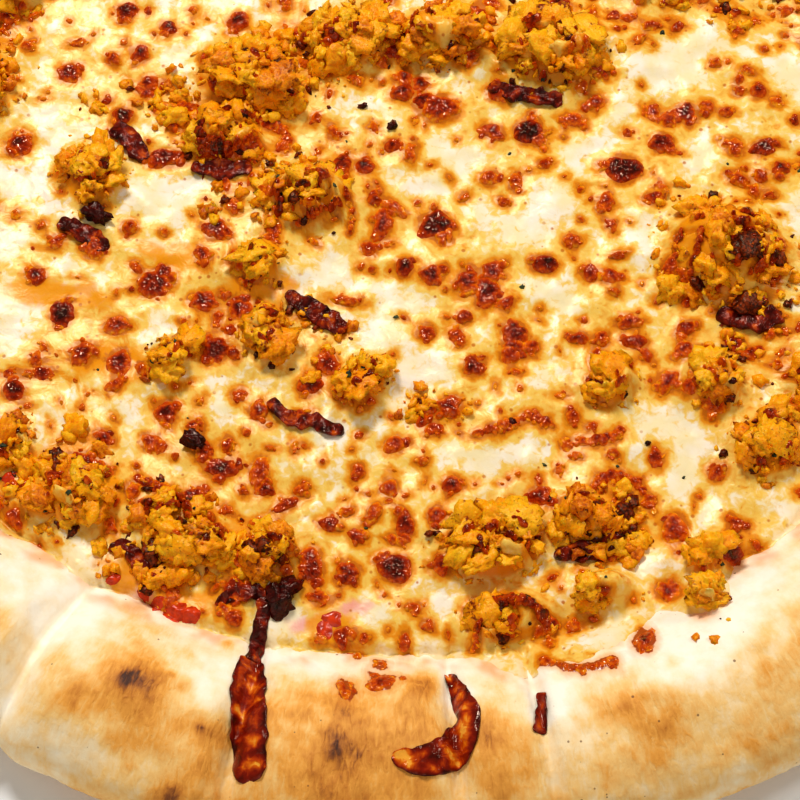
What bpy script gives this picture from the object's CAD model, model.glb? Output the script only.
"""Chicken pizza: a puffy baked crust, tomato sauce, melted and browned cheese, and heaps of spiced chicken.

Lengths are millimetres unless a name says metres. +Z is up, and the front of the pizza is -Y.
"""

import logging
import math
import random
from dataclasses import dataclass, field
from enum import Enum
from functools import partial
from typing import Any, Callable, Iterable, Optional, Sequence

import bmesh
import bpy
import numpy as np
from mathutils import Matrix, Vector, noise


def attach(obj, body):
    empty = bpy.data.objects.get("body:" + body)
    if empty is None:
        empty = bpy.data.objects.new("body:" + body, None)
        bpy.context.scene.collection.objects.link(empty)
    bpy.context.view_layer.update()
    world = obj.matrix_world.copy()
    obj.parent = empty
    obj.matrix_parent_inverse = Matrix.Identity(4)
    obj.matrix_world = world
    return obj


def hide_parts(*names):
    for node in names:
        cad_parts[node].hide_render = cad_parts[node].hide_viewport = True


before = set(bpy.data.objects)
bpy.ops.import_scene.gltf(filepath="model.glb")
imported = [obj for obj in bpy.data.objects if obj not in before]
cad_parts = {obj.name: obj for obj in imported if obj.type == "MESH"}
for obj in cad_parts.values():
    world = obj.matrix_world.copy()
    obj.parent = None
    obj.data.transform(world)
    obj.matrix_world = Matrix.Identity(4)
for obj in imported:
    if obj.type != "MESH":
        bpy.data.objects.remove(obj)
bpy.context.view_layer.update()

BODY = "root"
METRES = 0.001
UNBROWNED = -3.0  # how deep inside a browned spot a place lies that is far from any
NOISE_RING = 136.0  # the radius of the circle on which the noise of the edges is read
log = logging.getLogger("chicken_pizza")

Array = np.ndarray
Colour = tuple[float, float, float, float]
Socket = bpy.types.NodeSocket
Ground = Callable[[Array, Array], Array]
Spots = tuple[tuple[float, ...], ...]
Adder = Callable[..., Socket]


# ---- Small tools: colour, shader nodes, noise and meshes ----


def linear(code: str) -> Colour:
    """Turn an sRGB hex colour into linear light.

    Args:
        code: the colour as "#RRGGBB".

    Returns:
        Red, green and blue in linear light, and full alpha.
    """
    parts = [int(code[k:k + 2], 16) / 255.0 for k in (1, 3, 5)]
    light = [p / 12.92 if p <= 0.04045 else ((p + 0.055) / 1.055) ** 2.4 for p in parts]
    return (light[0], light[1], light[2], 1.0)


def grain(size: float) -> float:
    """The scale of a texture node whose features are this many millimetres across."""
    return 1.0 / (size * METRES)


def feed(tree: bpy.types.NodeTree, node: bpy.types.Node, inputs: dict[Any, Any]) -> None:
    """Feed a node's inputs.

    Args:
        tree: the node tree.
        node: the node.
        inputs: for each input, by name or number, the socket that feeds it or its fixed value.
    """
    for key, value in inputs.items():
        if isinstance(value, Socket):
            tree.links.new(value, node.inputs[key])
        else:
            node.inputs[key].default_value = value


def add_node(tree: bpy.types.NodeTree, kind: str, inputs: Optional[dict[Any, Any]] = None,
             stops: Sequence[tuple[float, str]] = (), out: Any = 0, **settings: Any) -> Socket:
    """Add a shader node with its settings and links.

    Args:
        tree: the node tree it goes in.
        kind: the node's type name, without ShaderNode in front.
        inputs: for each input, by name or number, the socket that feeds it or its fixed value.
        stops: for a colour ramp, its places from 0 to 1 with their sRGB hex colours.
        out: which output is wanted, by name or number.
        settings: the node's own properties.

    Returns:
        The wanted output.
    """
    node = tree.nodes.new(f"ShaderNode{kind}")
    for name, value in settings.items():
        setattr(node, name, value)
    feed(tree, node, inputs or {})
    if stops:
        ramp = node.color_ramp
        while len(ramp.elements) < len(stops):
            ramp.elements.new(1.0)
        for element, (place, code) in zip(ramp.elements, stops):
            element.position = place
            element.color = linear(code)
    return node.outputs[out]


def gradient_table() -> tuple[Array, Array]:
    """The directions and the shuffled order that the noise reads."""
    rng = np.random.default_rng(1)
    ways = rng.normal(size=(256, 3))
    return ways / np.linalg.norm(ways, axis=1, keepdims=True), rng.permutation(256)


DIRECTIONS, SHUFFLE = gradient_table()


def gradient_noise(points: Array, size: float, seed: int) -> Array:
    """Smooth noise.

    Args:
        points: places in millimetres, in two or three columns.
        size: how far apart its features are.
        seed: which pattern.

    Returns:
        A value from about -1 to 1 for each place.
    """
    spots = np.asarray(points, float) / size
    if spots.shape[1] == 2:
        spots = np.column_stack((spots, np.full(len(spots), 0.5)))
    spots = spots + 13.7 * seed
    cell = np.floor(spots).astype(int)
    part = spots - cell
    ease = part ** 3 * (part * (part * 6.0 - 15.0) + 10.0)
    total = np.zeros(len(spots))
    for corner in np.ndindex(2, 2, 2):
        at = (cell + corner) & 255
        which = SHUFFLE[(SHUFFLE[(SHUFFLE[at[:, 0]] + at[:, 1]) & 255] + at[:, 2]) & 255]
        weight = np.prod(np.where(corner, ease, 1.0 - ease), axis=1)
        total += weight * np.einsum("ij,ij->i", DIRECTIONS[which], part - corner)
    return 1.7 * total


def layered_noise(points: Array, size: float, seed: int, layers: int = 3) -> Array:
    """Noise with finer and weaker layers added to it.

    Args:
        points: places in millimetres.
        size: the coarsest layer's features.
        seed: which pattern.
        layers: how many layers, each half as wide and half as strong as the one before.

    Returns:
        A value from about -1.5 to 1.5 for each place.
    """
    return sum(0.5 ** k * gradient_noise(points, size / 2 ** k, seed + 7 * k) for k in range(layers))


def ease_between(value: Array, low: float, high: float) -> Array:
    """0 below low, 1 above high and a smooth step between."""
    share = np.clip((value - low) / (high - low), 0.0, 1.0)
    return share * share * (3.0 - 2.0 * share)


def bell(distance: Array, width: float) -> Array:
    """1 in the middle, falling smoothly to nothing a few widths away."""
    return np.exp(-((distance / width) ** 2))


def degrees_apart(one: Array, other: float) -> Array:
    """How far apart two directions are, in degrees, from -180 to 180."""
    return (one - other + 180.0) % 360.0 - 180.0


def polar(x: Array, y: Array) -> tuple[Array, Array]:
    """The radius and the direction in degrees of points."""
    return np.hypot(x, y), np.degrees(np.arctan2(y, x))


def on_circle(radius: Array, angles: Array) -> tuple[Array, Array]:
    """The x and y of points at a radius and at directions in degrees."""
    turns = np.radians(angles)
    return radius * np.cos(turns), radius * np.sin(turns)


def swung(x: Array, y: Array, along: Array, across: Array, turn: float) -> tuple[Array, Array]:
    """The x and y of points along and across a line.

    Args:
        x: the line's starting point.
        y: its second coordinate.
        along: how far the points lie along the line.
        across: how far they lie to the left of it.
        turn: the line's direction, in radians.

    Returns:
        The points' coordinates.
    """
    cosine, sine = math.cos(turn), math.sin(turn)
    return x + along * cosine - across * sine, y + along * sine + across * cosine


def faces_up(points: Array, face: Array) -> bool:
    """Whether a face's normal points up."""
    return np.cross(points[face[1]] - points[face[0]], points[face[2]] - points[face[0]])[2] >= 0.0


def outward(points: Array, faces: Array) -> Array:
    """Turn faces outward.

    Args:
        points: the vertices.
        faces: the vertex numbers of a closed surface's faces.

    Returns:
        The same faces, turned over if the surface is inside out.
    """
    first, second, third = (points[faces[:, k]] for k in range(3))
    volume = np.einsum("ij,ij->i", first, np.cross(second, third)).sum()
    if faces.shape[1] == 4:
        volume += np.einsum("ij,ij->i", first, np.cross(third, points[faces[:, 3]])).sum()
    return faces if volume > 0.0 else faces[:, ::-1]


def add_piece(name: str, points: Array, faces: Iterable[Array], finish: bpy.types.Material,
              fields: Optional[dict[str, Array]] = None, smooth: bool = True) -> bpy.types.Object:
    """Make a mesh object that rides on the pizza.

    Args:
        name: the piece's name.
        points: its vertices in millimetres.
        faces: arrays of vertex numbers, one array for each number of corners.
        finish: its material.
        fields: values for each vertex that the material reads, in one or three columns.
        smooth: whether its faces are shaded smooth.

    Returns:
        The object.
    """
    mesh = bpy.data.meshes.new(name)
    corners = [face for block in faces for face in np.asarray(block).tolist()]
    mesh.from_pydata((points * METRES).tolist(), [], corners)
    for label, values in (fields or {}).items():
        flat = values.ndim == 1
        layer = mesh.attributes.new(label, "FLOAT" if flat else "FLOAT_VECTOR", "POINT")
        layer.data.foreach_set("value" if flat else "vector", values.astype(np.float32).ravel())
    mesh.polygons.foreach_set("use_smooth", [smooth] * len(mesh.polygons))
    mesh.materials.append(finish)
    mesh.update()
    piece = bpy.data.objects.new(name, mesh)
    bpy.context.scene.collection.objects.link(piece)
    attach(piece, BODY)
    log.info("%s: %d points, %d faces", name, len(points), len(corners))
    return piece


def grid_faces(columns: int, rows: int, closed: bool) -> Array:
    """The four-cornered faces of a grid of points that lie row after row in each column.

    Args:
        columns: how many columns of points.
        rows: how many points each column has.
        closed: whether the last column joins the first.

    Returns:
        Vertex numbers, four to a face.
    """
    column = np.arange(columns if closed else columns - 1)[:, None] * rows
    beside = (column + rows) % (columns * rows)
    row = np.arange(rows - 1)[None, :]
    return np.stack((column + row, column + row + 1, beside + row + 1, beside + row), axis=-1).reshape(-1, 4)


def disc_faces(sides: int, rings: int) -> Array:
    """The triangles of a disc.

    Args:
        sides: how many points a ring has.
        rings: how many rings lie round the middle point.

    Returns:
        Vertex numbers, three to a face.
    """
    here = np.arange(sides)
    there = (here + 1) % sides
    faces = [np.stack((np.zeros(sides, int), 1 + here, 1 + there), axis=1)]
    for inner in 1 + sides * np.arange(rings - 1):
        outer = inner + sides
        faces.append(np.stack((inner + here, outer + here, outer + there), axis=1))
        faces.append(np.stack((inner + here, outer + there, inner + there), axis=1))
    return np.vstack(faces)


@dataclass
class Pile:
    """Many lumps gathered into one mesh, with values for each of their points."""

    points: list[Array] = field(default_factory=list)
    faces: list[Array] = field(default_factory=list)
    values: dict[str, list[Array]] = field(default_factory=dict)
    count: int = 0

    def add(self, points: Array, faces: Array, **values: Any) -> None:
        """Add a lump.

        Args:
            points: its vertices.
            faces: its faces, with its own vertices counted from 0.
            values: by name, one value for each vertex or one for all.
        """
        self.points.append(points)
        self.faces.append(faces + self.count)
        for name, value in values.items():
            self.values.setdefault(name, []).append(np.broadcast_to(value, len(points)))
        self.count += len(points)

    def gathered(self) -> tuple[Array, Array, dict[str, Array]]:
        """The vertices and faces of all lumps, and the values of every vertex by name."""
        values = {name: np.concatenate(parts) for name, parts in self.values.items()}
        return np.vstack(self.points), np.vstack(self.faces), values


def smooth_line(points: Sequence[Sequence[float]], steps: int) -> Array:
    """A Catmull-Rom line through points.

    Args:
        points: the places it passes, with any number of values each.
        steps: how many steps it takes between two of them.

    Returns:
        The line's points.
    """
    ends = np.array([points[0], *points, points[-1]], float)
    line = []
    for before, here, there, after in zip(ends, ends[1:], ends[2:], ends[3:]):
        for share in np.arange(steps) / steps:
            line.append(0.5 * (2.0 * here + (there - before) * share
                               + (2.0 * before - 5.0 * here + 4.0 * there - after) * share ** 2
                               + (3.0 * here - before - 3.0 * there + after) * share ** 3))
    return np.array([*line, ends[-1]])


# ---- Finishes: each is what the real surface is, and how it was made ----


@dataclass(frozen=True)
class Specks:
    """Small round specks, one to a cell, of uneven size; some cells have none."""

    spacing: float
    bare: float
    reach: float
    softness: float
    strength: float

    def draw(self, add: Adder, place: Socket) -> Socket:
        """Draw the specks.

        Args:
            add: adds a node (see add_node).
            place: the place on the surface.

        Returns:
            How strongly a speck shows.
        """
        away = add("TexVoronoi", {"Vector": place, "Scale": grain(self.spacing)})
        size = add("SeparateColor", {0: away.node.outputs["Color"]})
        reach = add("MapRange", {0: size, 1: self.bare, 2: 1.0, 4: self.reach})
        inside = add("Math", {0: reach, 1: away}, operation="SUBTRACT")
        return add("MapRange", {0: inside, 2: self.softness, 4: self.strength})


@dataclass(frozen=True)
class Finish:
    """What every finish has: its name, its gloss, and the strength and depth in metres of its fine relief."""

    name: str = "finish"
    roughness: float = 0.5
    specular: float = 0.5
    glint: Colour = (1.0, 1.0, 1.0, 1.0)
    relief: tuple[float, float] = (0.0, 0.0)

    def make(self) -> bpy.types.Material:
        """Make the material from what draw() gives.

        Returns:
            The material.
        """
        made = bpy.data.materials.new(self.name)
        made.use_nodes = True
        tree = made.node_tree
        inputs = {"Roughness": self.roughness, "Specular IOR Level": self.specular,
                  "Specular Tint": self.glint}
        add = partial(add_node, tree)
        inputs.update(self.draw(add, add("TexCoord", out="Object")))
        if "Height" in inputs:
            strength, depth = self.relief
            inputs["Normal"] = add("Bump", {
                "Strength": strength, "Distance": depth, "Height": inputs.pop("Height")})
        feed(tree, tree.nodes["Principled BSDF"], inputs)
        return made

    def draw(self, add: Adder, place: Socket) -> dict[str, Any]:
        """Draw the pattern.

        Args:
            add: adds a node (see add_node).
            place: the place on the surface.

        Returns:
            What feeds each of the shader's inputs by its name, and the relief as "Height".
        """
        raise NotImplementedError


@dataclass(frozen=True)
class BrownedBubble(Finish):
    """Cheese blistered by the oven: milk sugars caramelise from orange at a bubble's rim to near black.

    The fat that it sweats out leaves it as glossy as varnish, so that each lump carries small warm glints.
    """

    name: str = "browned_bubble"
    stops: tuple[tuple[float, str], ...] = (
        (0.0, "#F0960F"), (0.14, "#E26E08"), (0.34, "#C64A04"), (0.55, "#9C2803"), (0.78, "#640F03"),
        (1.0, "#2E0402"))
    roughness: float = 0.09
    specular: float = 0.55
    glint: Colour = (1.0, 0.70, 0.46, 1.0)
    relief: tuple[float, float] = (0.9, 0.0010)
    deepest: float = 1.9
    darkest: float = 0.60
    mottle_grain: float = 1.3
    wrinkle_grain: float = 1.3

    def draw(self, add: Adder, place: Socket) -> dict[str, Any]:
        """Draw the browning, from how deep inside the bubble a place is (see Finish.draw)."""
        depth, char = (add("Attribute", out="Fac", attribute_name=name)
                       for name in ("depth", "char"))
        mottle = add("TexNoise", {"Vector": place, "Scale": grain(self.mottle_grain), "Detail": 3.0})
        inside = add("MapRange", {0: depth, 2: self.deepest, 4: self.darkest})
        darker = add("Math", {0: mottle, 1: 1.1, 2: -0.55}, operation="MULTIPLY_ADD")
        deep = add("Math", {0: inside, 1: char})
        level = add("Math", {0: deep, 1: darker})
        wrinkles = add("TexNoise", {"Vector": place, "Scale": grain(self.wrinkle_grain), "Detail": 1.0})
        return {"Base Color": add("ValToRGB", {0: level}, self.stops), "Height": wrinkles}


@dataclass(frozen=True)
class MeltedMozzarella(Finish):
    """Mozzarella, melted and set: a translucent cream that scatters light, gold where its fat has pooled.

    Each of its layers is what it depends on, where that starts and ends, its greatest strength and its
    colour.
    """

    name: str = "melted_mozzarella"
    pale: str = "#F8E9D0"
    cream: str = "#F3DFAE"
    layers: tuple[tuple[str, float, float, float, str], ...] = (
        ("thinning", 0.15, 0.95, 0.85, "#FAD9A2"), ("wet", 0.16, 0.70, 1.0, "#F0C45E"),
        ("wet", 0.66, 1.20, 1.0, "#E48E10"), ("blush", 0.0, 1.0, 0.9, "#F0A396"),
        ("near", -2.2, -0.8, 0.9, "#F0C45E"), ("near", -1.3, -0.4, 0.95, "#E48E10"),
        ("soaking", 0.15, 0.9, 1.0, "#EE980F"), ("near", -0.45, 0.2, 0.9, "#C2680F"))
    speck: str = "#C2680F"
    specks: Specks = Specks(spacing=2.0, bare=0.4, reach=0.3, softness=0.14, strength=0.85)
    roughness: float = 0.29
    specular: float = 0.26
    glint: Colour = (1.0, 0.9, 0.6, 1.0)
    relief: tuple[float, float] = (0.22, 0.0006)
    pool_grain: float = 7.0
    streak_grain: float = 1.9
    wrinkle_grain: float = 2.4
    scattering: float = 0.18
    scattering_depth: float = 0.002
    scattering_colour: tuple[float, float, float] = (0.8, 0.75, 0.5)

    def draw(self, add: Adder, place: Socket) -> dict[str, Any]:
        """Draw the cream and the layers over it (see Finish.draw)."""
        fields = {name: add("Attribute", out="Fac", attribute_name=name)
                  for name in ("browning", "oiliness", "blush", "soaking", "thinning")}
        pools = add("TexNoise", {"Vector": place, "Scale": grain(self.pool_grain), "Detail": 4.0})
        streaks = add("TexNoise", {
            "Vector": place, "Scale": grain(self.streak_grain), "Detail": 5.0, "Distortion": 0.6})
        uneven = add("Math", {0: streaks, 1: 1.9, 2: -0.95}, operation="MULTIPLY_ADD")
        for share, source in (("wet", "oiliness"), ("near", "browning")):
            fields[share] = add("Math", {0: fields[source], 1: uneven})
        whitish = add("MapRange", {0: pools, 1: 0.40, 2: 0.60})
        colour = add("Mix", {0: whitish, 6: linear(self.cream), 7: linear(self.pale)},
                     out=2, data_type="RGBA")
        for share, low, high, most, code in self.layers:
            amount = add("MapRange", {0: fields[share], 1: low, 2: high, 4: most},
                         interpolation_type="SMOOTHSTEP")
            colour = add("Mix", {0: amount, 6: colour, 7: linear(code)}, out=2, data_type="RGBA")
        greasy = add("MapRange", {0: fields["oiliness"], 1: 0.1, 2: 0.4})
        dotted = add("Math", {0: self.specks.draw(add, place), 1: greasy}, operation="MULTIPLY")
        colour = add("Mix", {0: dotted, 6: colour, 7: linear(self.speck)}, out=2, data_type="RGBA")
        wrinkles = add("TexNoise", {
            "Vector": place, "Scale": grain(self.wrinkle_grain), "Detail": 2.0, "Distortion": 0.6})
        return {"Base Color": colour, "Height": wrinkles, "Subsurface Weight": self.scattering,
                "Subsurface Radius": self.scattering_colour, "Subsurface Scale": self.scattering_depth}


@dataclass(frozen=True)
class BakedDough(Finish):
    """Wheat dough, stretched by hand and stone baked: pale and floury in the folds, toasted on the crown."""

    name: str = "baked_dough"
    stops: tuple[tuple[float, str], ...] = (
        (0.0, "#FFF3DC"), (0.18, "#FDE4B8"), (0.36, "#F8C87C"), (0.54, "#EEA544"), (0.72, "#D0842A"),
        (0.88, "#935218"), (1.0, "#4E270F"))
    oil: str = "#E08A2A"
    spot: str = "#A84A10"
    bran: str = "#6B3F1B"
    specks: Specks = Specks(spacing=2.6, bare=0.72, reach=0.15, softness=0.05, strength=0.75)
    roughness: float = 0.68
    wet_roughness: float = 0.2
    relief: tuple[float, float] = (0.7, 0.0007)
    crackle_grain: float = 1.0
    crackle_stretch: float = 0.33
    mottle_grain: float = 4.0

    def draw(self, add: Adder, place: Socket) -> dict[str, Any]:
        """Draw the toasting, with fine lines that were drawn out along the section (see Finish.draw)."""
        skin = add("Attribute", out="Vector", attribute_name="skin")
        toast, stain, browning = (add("Attribute", out="Fac", attribute_name=name)
                                  for name in ("toast", "stain", "browning"))
        mottle = add("TexNoise", {
            "Vector": place, "Scale": grain(self.mottle_grain), "Detail": 5.0, "Roughness": 0.62})
        drawn = add("VectorMath", {0: skin, 1: (1.0, self.crackle_stretch, 1.0)}, operation="MULTIPLY")
        crackle = add("TexNoise", {
            "Vector": drawn, "Scale": grain(self.crackle_grain), "Detail": 4.0, "Distortion": 0.8})
        spread, lines, frayed = (
            add("Math", {0: source, 1: most, 2: -0.5 * most}, operation="MULTIPLY_ADD")
            for source, most in ((mottle, 0.36), (crackle, 0.7), (crackle, 0.8)))
        strong = add("Math", {0: lines, 1: toast}, operation="MULTIPLY")
        level = add("Math", {0: add("Math", {0: toast, 1: spread}), 1: strong})
        colour = add("ValToRGB", {0: level}, self.stops)

        depth = add("Math", {0: browning, 1: frayed})
        near = add("MapRange", {0: depth, 1: -1.6, 2: 0.0, 4: 0.6})
        oily = add("Math", {0: stain, 1: near}, operation="MAXIMUM", use_clamp=True)
        browned = add("MapRange", {0: depth, 1: -0.10, 2: 0.14}, interpolation_type="SMOOTHSTEP")
        dots = self.specks.draw(add, place)
        for amount, code in ((dots, self.bran), (oily, self.oil), (browned, self.spot)):
            colour = add("Mix", {0: amount, 6: colour, 7: linear(code)}, out=2, data_type="RGBA")
        gloss = add("MapRange", {0: browned, 3: self.roughness, 4: self.wet_roughness})
        mixed = add("Math", {0: crackle, 1: toast}, operation="MULTIPLY")
        relief = add("Math", {0: mottle, 1: 0.6, 2: mixed}, operation="MULTIPLY_ADD")
        return {"Base Color": colour, "Roughness": gloss, "Height": relief}


@dataclass(frozen=True)
class SpicedChicken(Finish):
    """Chicken breast, pulled and roasted with turmeric: moist, golden yellow shreds with scorched edges."""

    name: str = "spiced_chicken"
    stops: tuple[tuple[float, str], ...] = (
        (0.0, "#B24C04"), (0.25, "#E07C06"), (0.5, "#F69606"), (0.8, "#FFA90A"), (1.0, "#FFB61C"))
    burns: tuple[tuple[float, float, str], ...] = ((0.32, 0.66, "#8E3205"), (0.70, 1.05, "#380702"))
    roughness: float = 0.34
    specular: float = 0.4
    glint: Colour = (1.0, 0.78, 0.5, 1.0)
    relief: tuple[float, float] = (0.7, 0.0004)
    fibre_grain: float = 0.7
    split_spacing: float = 3.0
    split_bend: float = 0.0012
    scattering: float = 0.3
    scattering_depth: float = 0.0014
    scattering_colour: tuple[float, float, float] = (1.0, 0.5, 0.12)

    def draw(self, add: Adder, place: Socket) -> dict[str, Any]:
        """Draw the meat's tones, its splits and its scorching (see Finish.draw)."""
        tone, scorch = (add("Attribute", out="Fac", attribute_name=name)
                        for name in ("tone", "scorch"))
        fibres = add("TexNoise", {"Vector": place, "Scale": grain(self.fibre_grain), "Detail": 3.0})
        bent = add("VectorMath", {0: fibres, 1: (self.split_bend,) * 3, 2: place}, operation="MULTIPLY_ADD")
        splits = add("TexVoronoi", {"Vector": bent, "Scale": grain(self.split_spacing)},
                     feature="DISTANCE_TO_EDGE")
        split = add("MapRange", {0: splits, 2: 0.09, 3: 0.2, 4: 0.0})
        shift = add("Math", {0: fibres, 1: 1.3, 2: -0.65}, operation="MULTIPLY_ADD")
        level = add("Math", {0: tone, 1: shift})
        colour = add("ValToRGB", {0: level}, self.stops)
        seared = add("Math", {0: scorch, 1: split})
        burnt = add("Math", {0: seared, 1: shift})
        for start, end, code in self.burns:
            amount = add("MapRange", {0: burnt, 1: start, 2: end})
            colour = add("Mix", {0: amount, 6: colour, 7: linear(code)}, out=2, data_type="RGBA")
        return {"Base Color": colour, "Height": fibres, "Subsurface Weight": self.scattering,
                "Subsurface Radius": self.scattering_colour, "Subsurface Scale": self.scattering_depth}


@dataclass(frozen=True)
class GlazedBrown(Finish):
    """A sugary skin, caramelised in the oven: near black where it is thick, red-brown where light gets in."""

    stops: tuple[tuple[float, str], ...] = ()
    marbling_grain: float = 1.0
    roughness: float = 0.13
    specular: float = 0.36
    glint: Colour = (1.0, 0.74, 0.58, 1.0)
    relief: tuple[float, float] = (0.8, 0.0006)

    def draw(self, add: Adder, place: Socket) -> dict[str, Any]:
        """Draw the marbling, from how thick the skin is (see Finish.draw)."""
        thickness = add("Attribute", out="Fac", attribute_name="thickness")
        marbling = add("TexNoise", {
            "Vector": place, "Scale": grain(self.marbling_grain), "Detail": 4.0, "Distortion": 0.7})
        shift = add("Math", {0: marbling, 1: 1.3, 2: -0.65}, operation="MULTIPLY_ADD")
        level = add("Math", {0: thickness, 1: shift})
        return {"Base Color": add("ValToRGB", {0: level}, self.stops), "Height": marbling}


@dataclass(frozen=True)
class Mottled(Finish):
    """A surface of one named colour with darker patches: cooked tomato, dried herb and the studio's paper."""

    patches: tuple[tuple[float, str], ...] = ()
    patch_grain: float = 1.0
    patch_detail: float = 3.0

    def draw(self, add: Adder, place: Socket) -> dict[str, Any]:
        """Draw the patches (see Finish.draw)."""
        mottle = add("TexNoise", {
            "Vector": place, "Scale": grain(self.patch_grain), "Detail": self.patch_detail})
        drawn = {"Base Color": add("ValToRGB", {0: mottle}, self.patches)}
        return drawn | ({"Height": mottle} if self.relief[0] else {})


# Onion cooked down to a dark, sticky strip with fine wet glints.
CARAMELISED_ONION = GlazedBrown(name="caramelised_onion", marbling_grain=1.5, stops=(
    (0.0, "#C4560E"), (0.2, "#94290A"), (0.42, "#681408"), (0.7, "#430A07"), (1.0, "#200403")))
# Cheese that ran out on the hot rim: amber at its thin edge, mahogany in the middle.
BROWNED_CHEESE = GlazedBrown(name="browned_cheese", marbling_grain=2.4, stops=(
    (0.0, "#F2A63C"), (0.12, "#DE7210"), (0.30, "#B8420A"), (0.52, "#861D07"), (1.0, "#420A04")))
# Crushed tomato, cooked down: a wet orange red with darker dried patches.
COOKED_TOMATO = Mottled(name="cooked_tomato", patches=((0.35, "#AA2C08"), (0.62, "#DE440E")), patch_grain=1.6,
                        patch_detail=4.0, roughness=0.22, specular=0.35, relief=(0.6, 0.0005))
# Oregano, dried and rubbed: dull and almost black green.
DRIED_HERB = Mottled(name="dried_herb", patches=((0.35, "#14180A"), (0.65, "#3E4A1C")), patch_grain=0.8,
                     roughness=0.6)
# Matt paper under the pizza, so pale that only the shadow shows.
STUDIO_PAPER = Mottled(name="studio_paper", patches=((0.35, "#F4F3F0"), (0.65, "#F5F4F1")), patch_grain=40.0,
                       roughness=0.8)


# ---- The rim's form ----


@dataclass
class RimShape:
    """The crust's true form, from the same sizes as its solid: floor, slope, crown, equator and underside."""

    outer_radius: float = 177.5
    base_radius: float = 166.0
    crown_radius: float = 157.0
    floor_radius: float = 131.0
    floor_height: float = 4.5
    top_height: float = 21.0
    equator_height: float = 8.5
    swell: float = 2.2
    wobble: float = 2.6
    cheese_radius: float = 136.5
    cheese_wave: float = 2.4
    sauce_lip: float = 0.8
    front_folds: Spots = (  # direction, depth, half width
        (-118.5, 4.2, 4.0), (-102.0, 3.6, 3.4), (-85.9, 2.6, 3.0), (-79.3, 1.6, 2.0))
    front_bubbles: Spots = (  # direction, radius, size, height
        (-89.2, 146.0, 8.0, 2.4), (-110.0, 156.0, 13.0, 1.8), (-70.0, 158.0, 14.0, 1.6))
    back_span: tuple[float, float] = (-58.0, 224.0)
    back_fold_count: int = 10
    back_bubble_count: int = 12
    axis_clearance: float = 7.0
    fold_seed: int = 11
    bubble_seed: int = 23
    cheese_tongues: Spots = (  # direction, reach, half width in degrees
        (-74.0, 9.5, 5.4), (-80.8, 6.0, 2.2), (-62.8, 7.5, 2.8), (-118.5, 2.0, 3.0),
        (8.0, 6.0, 4.0), (61.0, 5.0, 5.0), (118.0, 8.0, 3.5), (171.0, 6.0, 4.5))
    sauce_tongues: Spots = (
        (-95.0, 2.6, 4.5), (-108.5, 2.4, 4.0), (30.0, 2.2, 5.0), (96.0, 2.4, 4.0), (200.0, 2.4, 4.0))
    folds: list[tuple[float, ...]] = field(init=False)
    bubbles: list[tuple[float, ...]] = field(init=False)
    tables: dict[str, Array] = field(init=False)

    def __post_init__(self) -> None:
        """Place the folds and bubbles, and tabulate what changes only with the angle."""
        self.folds = self.place_folds()
        self.bubbles = self.place_bubbles()
        angles = np.arange(-180.0, 180.0, 0.25)
        fold = np.array([self.fold_depth(angle) for angle in angles])
        crown = self.top_height + self.swell * self.round_noise(angles, 2.2, 3.7) - fold
        off_axis = np.sqrt(np.abs(np.sin(np.radians(2.0 * angles))))
        outline = self.outer_radius + self.wobble * self.round_noise(angles, 3.1, 8.2) * off_axis - 0.4 * fold
        cheese = self.cheese_radius + self.cheese_wave * self.round_noise(angles, 7.0, 1.3)
        cheese = self.with_tongues(angles, cheese, self.cheese_tongues)
        sauce = self.with_tongues(angles, cheese + self.sauce_lip, self.sauce_tongues)
        self.tables = {"angles": angles, "fold": fold, "crown": crown, "outline": outline,
                       "cheese": cheese, "sauce": sauce}

    @staticmethod
    def with_tongues(angles: Array, edge: Array, tongues: Spots) -> Array:
        """An edge's radii at these angles, with tongues that reach further out."""
        for at, reach, half_width in tongues:
            edge = edge + reach * bell(degrees_apart(angles, at), half_width)
        return edge

    @staticmethod
    def round_noise(angles: Array, scale: float, seed: float) -> Array:
        """Noise that goes smoothly round the whole circle."""
        turns = np.radians(angles)
        places = [(scale * math.cos(turn), scale * math.sin(turn), seed) for turn in turns]
        return np.array([noise.noise(Vector(place)) for place in places])

    def place_folds(self) -> list[tuple[float, ...]]:
        """Every fold: the named front ones, and unevenly spaced ones round the rest.

        Returns:
            Each fold's direction, depth and half width.
        """
        rng = random.Random(self.fold_seed)
        folds = list(self.front_folds)
        start, end = self.back_span
        spacing = (end - start) / self.back_fold_count
        for index in range(self.back_fold_count):
            angle = start + spacing * (index + 0.5 + rng.uniform(-0.28, 0.28))
            for axis in (0.0, 90.0, 180.0):
                away = degrees_apart(angle, axis)
                if abs(away) < self.axis_clearance:
                    angle += math.copysign(self.axis_clearance, away) - away
            folds.append((angle, rng.uniform(1.8, 4.2), rng.uniform(2.6, 4.4)))
        return folds

    def place_bubbles(self) -> list[tuple[float, ...]]:
        """Every dough bubble of the rim.

        Returns:
            Each bubble's direction, radius, size and height.
        """
        rng = random.Random(self.bubble_seed)
        bubbles = list(self.front_bubbles)
        start, end = self.back_span
        for index in range(self.back_bubble_count):
            angle = start + (end - start) * (index + rng.random()) / self.back_bubble_count
            bubbles.append((angle, rng.uniform(143, 163), rng.uniform(8, 14), rng.uniform(0.8, 2.2)))
        return bubbles

    def fold_depth(self, angle: float) -> float:
        """How deep the folds cut the crown.

        Args:
            angle: a direction in degrees.

        Returns:
            The depth there.
        """
        depth = 0.0
        for at, deepest, half_width in self.folds:
            arc = math.radians(abs(degrees_apart(angle, at))) * self.crown_radius
            depth = max(depth, deepest * math.exp(-((arc / half_width) ** 2)))
        return depth

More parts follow.
